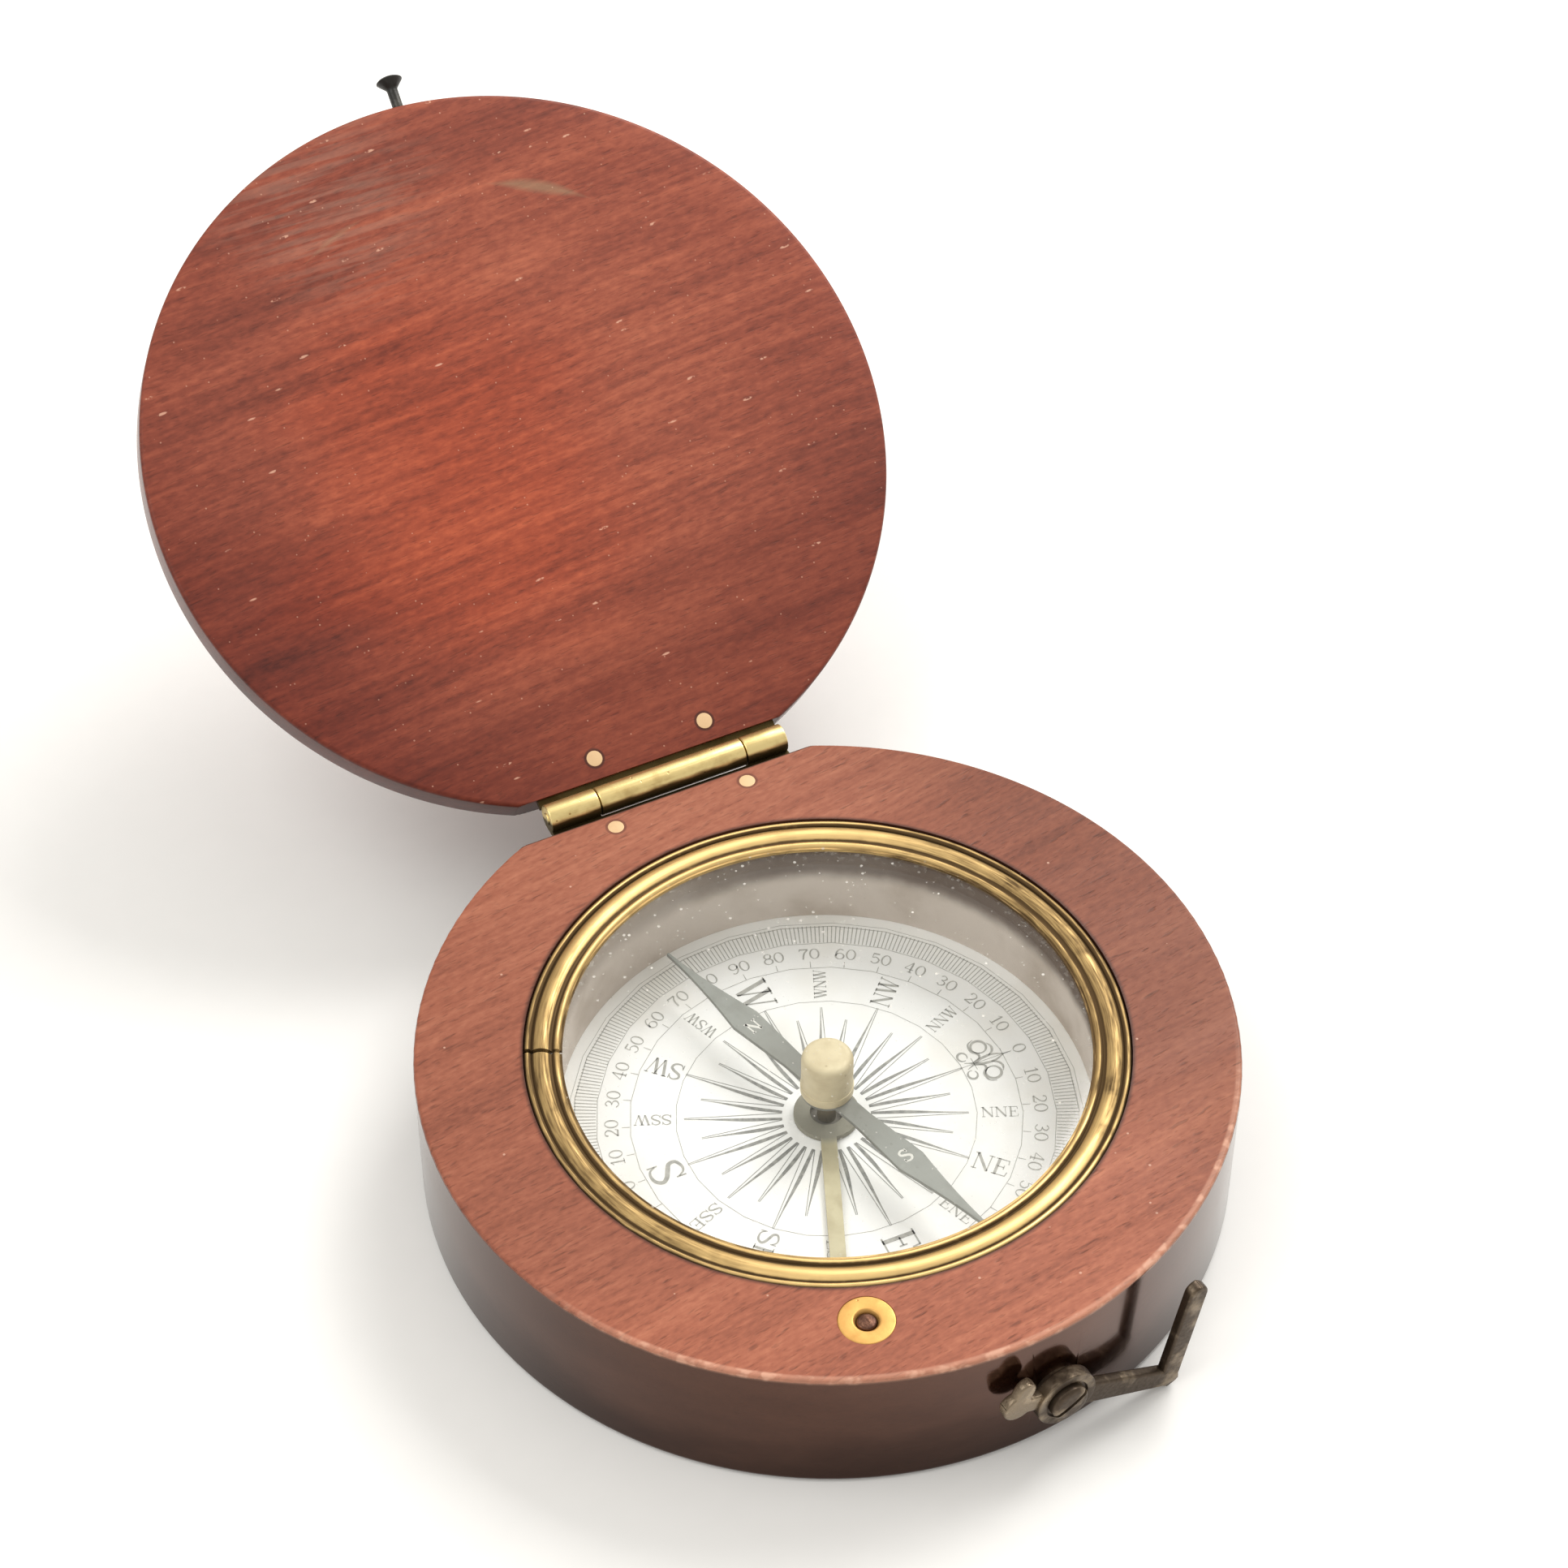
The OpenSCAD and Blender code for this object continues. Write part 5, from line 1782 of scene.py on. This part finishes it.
@dataclass
class SideHook:
    """The hook on the case's side with its screw and washer.

    The hook is a flat bar with rounded edges, drawn in the plane through its
    screw: along its arm, across it and away from the case.
    """

    angle: float = -84.5
    height: float = 7.6
    droop: float = 26.18
    reach: float = 13.94
    run: float = 11.8
    bend: float = 104.0
    inner: float = 41.6
    thick: float = 1.2
    width: float = 2.2
    tab: tuple[float, float] = (5.7, 6.0)
    washer: Places = ((1.3, 40.9), (2.4, 40.9), (2.4, 41.54), (1.3, 41.54))
    shank: float = 36.0
    head: float = 2.0
    head_rise: float = 1.1
    head_rounding: float = 0.5
    slot: float = 0.25
    slot_floor: float = 0.6
    slot_turn: float = 28.0
    metal: DarkIron = DarkIron("dark_metal")

    def axis(self) -> Turning:
        """The line of the screw."""
        way = math.radians(self.angle)
        return Turning((0.0, 0.0, self.height), (math.cos(way), math.sin(way), 0.0))

    def place(self, along: np.ndarray, across: np.ndarray, away: np.ndarray) -> np.ndarray:
        """Points of the hook's plane in the frame.

        The first direction is the case's tangent, turned down by the droop;
        the second stands square to it, and the third is the screw's line.

        Args:
            along: the parts along the arm.
            across: the parts across it.
            away: the distances from the case's axis.

        Returns:
            The points.
        """
        fall = math.radians(self.droop)
        level = along * math.cos(fall) + across * math.sin(fall)
        rise = across * math.cos(fall) - along * math.sin(fall)
        return self.axis().place(level, rise, away)

    def bar(
        self, path: np.ndarray, half: np.ndarray, low: float, high: float, edge: float = 0.32
    ) -> Shape:
        """A flat bar along a path in the hook's plane.

        Its section is a rectangle of the bar's width and thickness whose
        corners are quarter circles; where the bar is narrower than its corners
        they shrink with it.

        Args:
            path: the points of its middle.
            half: half its width at each point.
            low: the height of its inner face.
            high: the height of its outer face.
            edge: the radius of its corners.

        Returns:
            The bar's points and faces.
        """
        along = np.gradient(path, axis=0)
        along /= np.linalg.norm(along, axis=1, keepdims=True)
        beside = np.stack([-along[:, 1], along[:, 0]], axis=1)
        angle = np.linspace(0, 2 * math.pi, 32, endpoint=False) + math.pi / 32
        wide = half[:, None]
        corner = np.minimum(wide, edge)
        offset = np.sign(np.cos(angle)) * (wide - corner) + corner * np.cos(angle)
        flat_part = np.sign(np.sin(angle)) * ((high - low) / 2 - edge)
        away = (low + high) / 2 + flat_part + edge * np.sin(angle)
        flat = path[:, None] + beside[:, None] * offset[..., None]
        points = self.place(flat[..., 0], flat[..., 1], away + 0 * offset)
        return points.reshape(-1, 3), quads(len(path), len(angle), closed=True)

    def capsule(
        self,
        start: Sequence[float],
        end: Sequence[float],
        halves: tuple[float, float],
        sink: float = 0.0,
    ) -> Shape:
        """A flat bar with half-round ends.

        Half its width goes evenly from one end's to the other's; beyond both
        places it falls like a half circle.

        Args:
            start: the middle of its first end.
            end: the middle of its last end.
            halves: half its width at both.
            sink: how much its faces lie inside those of the hook.

        Returns:
            The bar's points and faces.
        """
        start, end = np.array(start, float), np.array(end, float)
        length = float(np.linalg.norm(end - start))
        first, last = halves
        turn = np.linspace(0.02, math.pi / 2, 12)
        share = np.linspace(0, 1, 6)[1:-1]
        far = [-first * np.cos(turn), length * share, length + last * np.cos(turn[::-1])]
        half = [first * np.sin(turn), first + (last - first) * share, last * np.sin(turn[::-1])]
        path = start + np.concatenate(far)[:, None] * (end - start) / length
        low, high = self.inner + sink, self.inner + self.thick - sink
        return self.bar(path, np.concatenate(half), low, high)

    def screw(self) -> Shape:
        """The screw: a plate, and two half heads with the slot between them.

        A half head's section runs up the slot's wall, over the rounded top and
        down the rim. Across the head it ends where the circle's width meets the
        slot, so both its ends are closed.

        Returns:
            The shape of the screw.
        """
        axis, radius, gap, soft = self.axis(), self.head, self.slot, self.head_rounding
        low = self.inner + self.thick + 0.05
        floor, rim, seat = low + self.slot_floor, radius - 0.02, self.washer[0][1]
        corners = ((0.0, self.shank), (0.95, self.shank), (0.95, seat), (1.3, seat), (1.3, low))
        corners += ((rim, low), (rim, floor), (0.0, floor))
        reach = math.acos(gap / radius)
        beta = np.linspace(-reach, reach, 48)[None, :]
        bend = np.sin(np.linspace(1.15, math.pi / 2, 8))
        share = np.concatenate([[0.0, 0.0], np.linspace(0.04, 0.9, 10), bend, [1.0]])[:, None]
        beside = radius * np.sin(beta)
        across = gap + share * (radius * np.cos(beta) - gap)
        far = np.sqrt(across**2 + beside**2)
        drop = soft * (1 - np.sqrt(1 - ((far - radius + soft) / soft).clip(0, 1) ** 2))
        top = low + self.head_rise - drop * 0.76 - 0.12 * (far / radius) ** 2
        top[0], top[-1] = low + 0.3, low
        tilt = math.radians(self.slot_turn)
        halves = []
        for side in (1, -1):
            x, y = side * across, side * beside
            turned_x = y * math.cos(tilt) - x * math.sin(tilt)
            turned_y = x * math.cos(tilt) + y * math.sin(tilt)
            points = axis.place(turned_x, turned_y, top)
            closed = np.vstack([points.reshape(-1, 3), points[0]])
            halves.append((closed, quads(len(share) + 1, 48)))
        return gather(axis.turned(rounded(corners, 0.0, 2)), *halves)

    def eye(self) -> Shape:
        """The hook's eye: a flat ring with a raised collar.

        Returns:
            Its shape.
        """
        low, high = self.inner - 0.01, self.inner + self.thick
        corners = ((1.35, low), (3.25, low), (3.25, high + 0.3), (2.3, high + 0.3))
        corners += ((2.3, high + 0.01), (1.35, high + 0.01))
        return self.axis().turned(rounded(corners, (0.05, 0.3, 0.16, 0.1, 0.0, 0.1)))

    def build(self) -> None:
        """Makes the hook and what holds it."""
        way, bend, half = math.radians(self.tab[1]), math.radians(self.bend), self.width / 2
        tab = -self.tab[0] * np.array([math.cos(way), math.sin(way)])
        elbow = np.array([self.reach, 0.0])
        tip = elbow + self.run * np.array([math.cos(bend), math.sin(bend)])
        rub = self.place(*np.array([tab[0], tab[1] + 1.0, self.inner + self.thick])) * MM
        metal = replace(self.metal, rub=tuple(map(float, rub)), reach=0.0030).make()
        hook = gather(
            self.eye(),
            self.capsule((2.9, -0.2), elbow, (1.4, half)),
            self.capsule(elbow, tip, (half, half), 0.01),
            self.capsule(tab * 0.4, tab, (0.95, 0.95), 0.02),
            self.capsule(tab, tab + [0.01, 0.0], (1.6, 1.6), 0.03),
            self.capsule(tab, tab + [0.0, 2.1], (1.15, 1.0), 0.04),
        )
        washer = self.axis().turned(rounded(self.washer, (0, 0.1, 0.1, 0)))
        for name, shape, body, node in (
            ("swinging_hook", hook, Body.HOOK, "hook"),
            ("slotted_screw", self.screw(), Body.CASE, "hook_screw"),
            ("thin_washer", washer, Body.CASE, "hook_washer"),
        ):
            settle(raised(name, shape, metal, 50.0), body, "dark_metal", node)


@dataclass
class Studio:
    """Pale floor, soft light and the camera of the photograph."""

    azimuth: float = -26.154
    elevation: float = 46.531
    roll: float = 0.217
    lens: float = 97.52
    place: Point = (-0.12339, -0.24123, 0.33917)
    ambient: Colour = (0.71, 0.695, 0.66)
    key_place: Point = (0.50, 0.28, 0.56)
    key_power: float = 5.0
    fill_place: Point = (-0.40, 0.06, 0.60)
    fill_power: float = 1.5
    edge: float = 3.0

    def floor(self) -> None:
        """Makes the pale floor, which looks white and keeps the shadow."""
        mesh = bpy.data.meshes.new("floor")
        corners = np.array([(-1, -1, 0), (1, -1, 0), (1, 1, 0), (-1, 1, 0)]) * self.edge
        mesh.from_pydata(corners.tolist(), [], [(0, 1, 2, 3)])
        g = Graph("floor_white")
        point = g.place()
        speck = g.noise(point, 300.0, 3.0)
        path = g.node("ShaderNodeLightPath", output="Is Camera Ray")
        rays = path.socket.node.outputs
        glossy, through = (Term(g, rays[f"Is {kind} Ray"]) for kind in ("Glossy", "Transmission"))
        seen = g.clamp(path + glossy + through)
        pale = g.mix(speck, srgb(240, 239, 237), srgb(244, 243, 241))
        matt = g.node("ShaderNodeBsdfDiffuse", inputs={"Color": pale})
        light = {"Color": (1.0, 0.995, 0.98), "Strength": 0.5}
        glow = g.node("ShaderNodeEmission", inputs=light)
        added = g.node("ShaderNodeAddShader", inputs={0: matt, 1: glow})
        x, y, _ = g.parts(point)
        # The floor glows only for rays that see it: a little near the compass, so its shadows stay,
        # more far off, and not at all where it is seen through the hinge's gap, so that gap stays
        # dark.
        under = g.step(g.away(x, y, (7.0, 50.0)), 0.018, 0.040)
        share = under * (0.16 + g.step(g.radius(point), 0.12, 0.55) * 0.84)
        mesh.materials.append(g.done(g.blend(seen * share, matt, added)))
        linked("floor", mesh)

    def world(self) -> None:
        """Lights the room evenly and shows white to the camera."""
        world = bpy.data.worlds.new("room")
        world.use_nodes = True
        tree = world.node_tree
        tree.nodes.clear()
        path = tree.nodes.new("ShaderNodeLightPath")
        mix = tree.nodes.new("ShaderNodeMixShader")
        out = tree.nodes.new("ShaderNodeOutputWorld")
        tree.links.new(path.outputs["Is Camera Ray"], mix.inputs[0])
        for number, colour in ((1, self.ambient), (2, (1.0, 1.0, 1.0))):
            back = tree.nodes.new("ShaderNodeBackground")
            back.inputs["Color"].default_value = (*colour, 1.0)
            tree.links.new(back.outputs[0], mix.inputs[number])
        tree.links.new(mix.outputs[0], out.inputs["Surface"])
        bpy.context.scene.world = world

    def lamp(self, name: str, place: Point, size: float, power: float, colour: Colour) -> None:
        """Adds a square lamp that faces the middle of the compass.

        Args:
            name: its name.
            place: where it hangs, in metres.
            size: its side, in metres.
            power: its power in watts.
            colour: its colour.
        """
        light = bpy.data.lights.new(name, "AREA")
        light.shape = "SQUARE"
        light.size = size
        light.energy = power
        light.color = colour
        made = linked(name, light)
        made.location = place
        way = Vector((0, 0.01, 0.01)) - Vector(place)
        made.rotation_euler = way.to_track_quat("-Z", "Y").to_euler()

    def camera(self) -> None:
        """Sets the camera of the photograph: turned, raised and rolled as measured."""
        data = bpy.data.cameras.new("photo_camera")
        data.lens = self.lens
        data.sensor_width = 36.0
        data.clip_start = 0.01
        made = linked("photo_camera", data)
        turn = Matrix.Rotation(math.radians(self.azimuth), 4, "Z")
        tip = Matrix.Rotation(math.radians(90.0 - self.elevation), 4, "X")
        roll = Matrix.Rotation(math.radians(self.roll), 4, "Z")
        made.matrix_world = Matrix.Translation(self.place) @ turn @ tip @ roll
        bpy.context.scene.camera = made

    def build(self) -> None:
        """Makes the floor, the light and the camera."""
        self.floor()
        self.world()
        self.lamp("key", self.key_place, 0.45, self.key_power, (1.0, 0.985, 0.96))
        self.lamp("fill", self.fill_place, 0.5, self.fill_power, (1.0, 0.99, 0.97))
        self.camera()
        bpy.context.scene.view_settings.view_transform = "Standard"


def main() -> None:
    """Builds every sub-assembly in order."""
    logging.basicConfig(level=logging.INFO, format="%(name)s: %(message)s")
    kinds = (WoodenCase, Lid, Hinge, Bezel, Dial, NeedleAssembly, Lifter, SideHook, Studio)
    for kind in kinds:
        LOG.info("building %s", kind.__name__)
        kind().build()


if __name__ == "__main__":
    main()
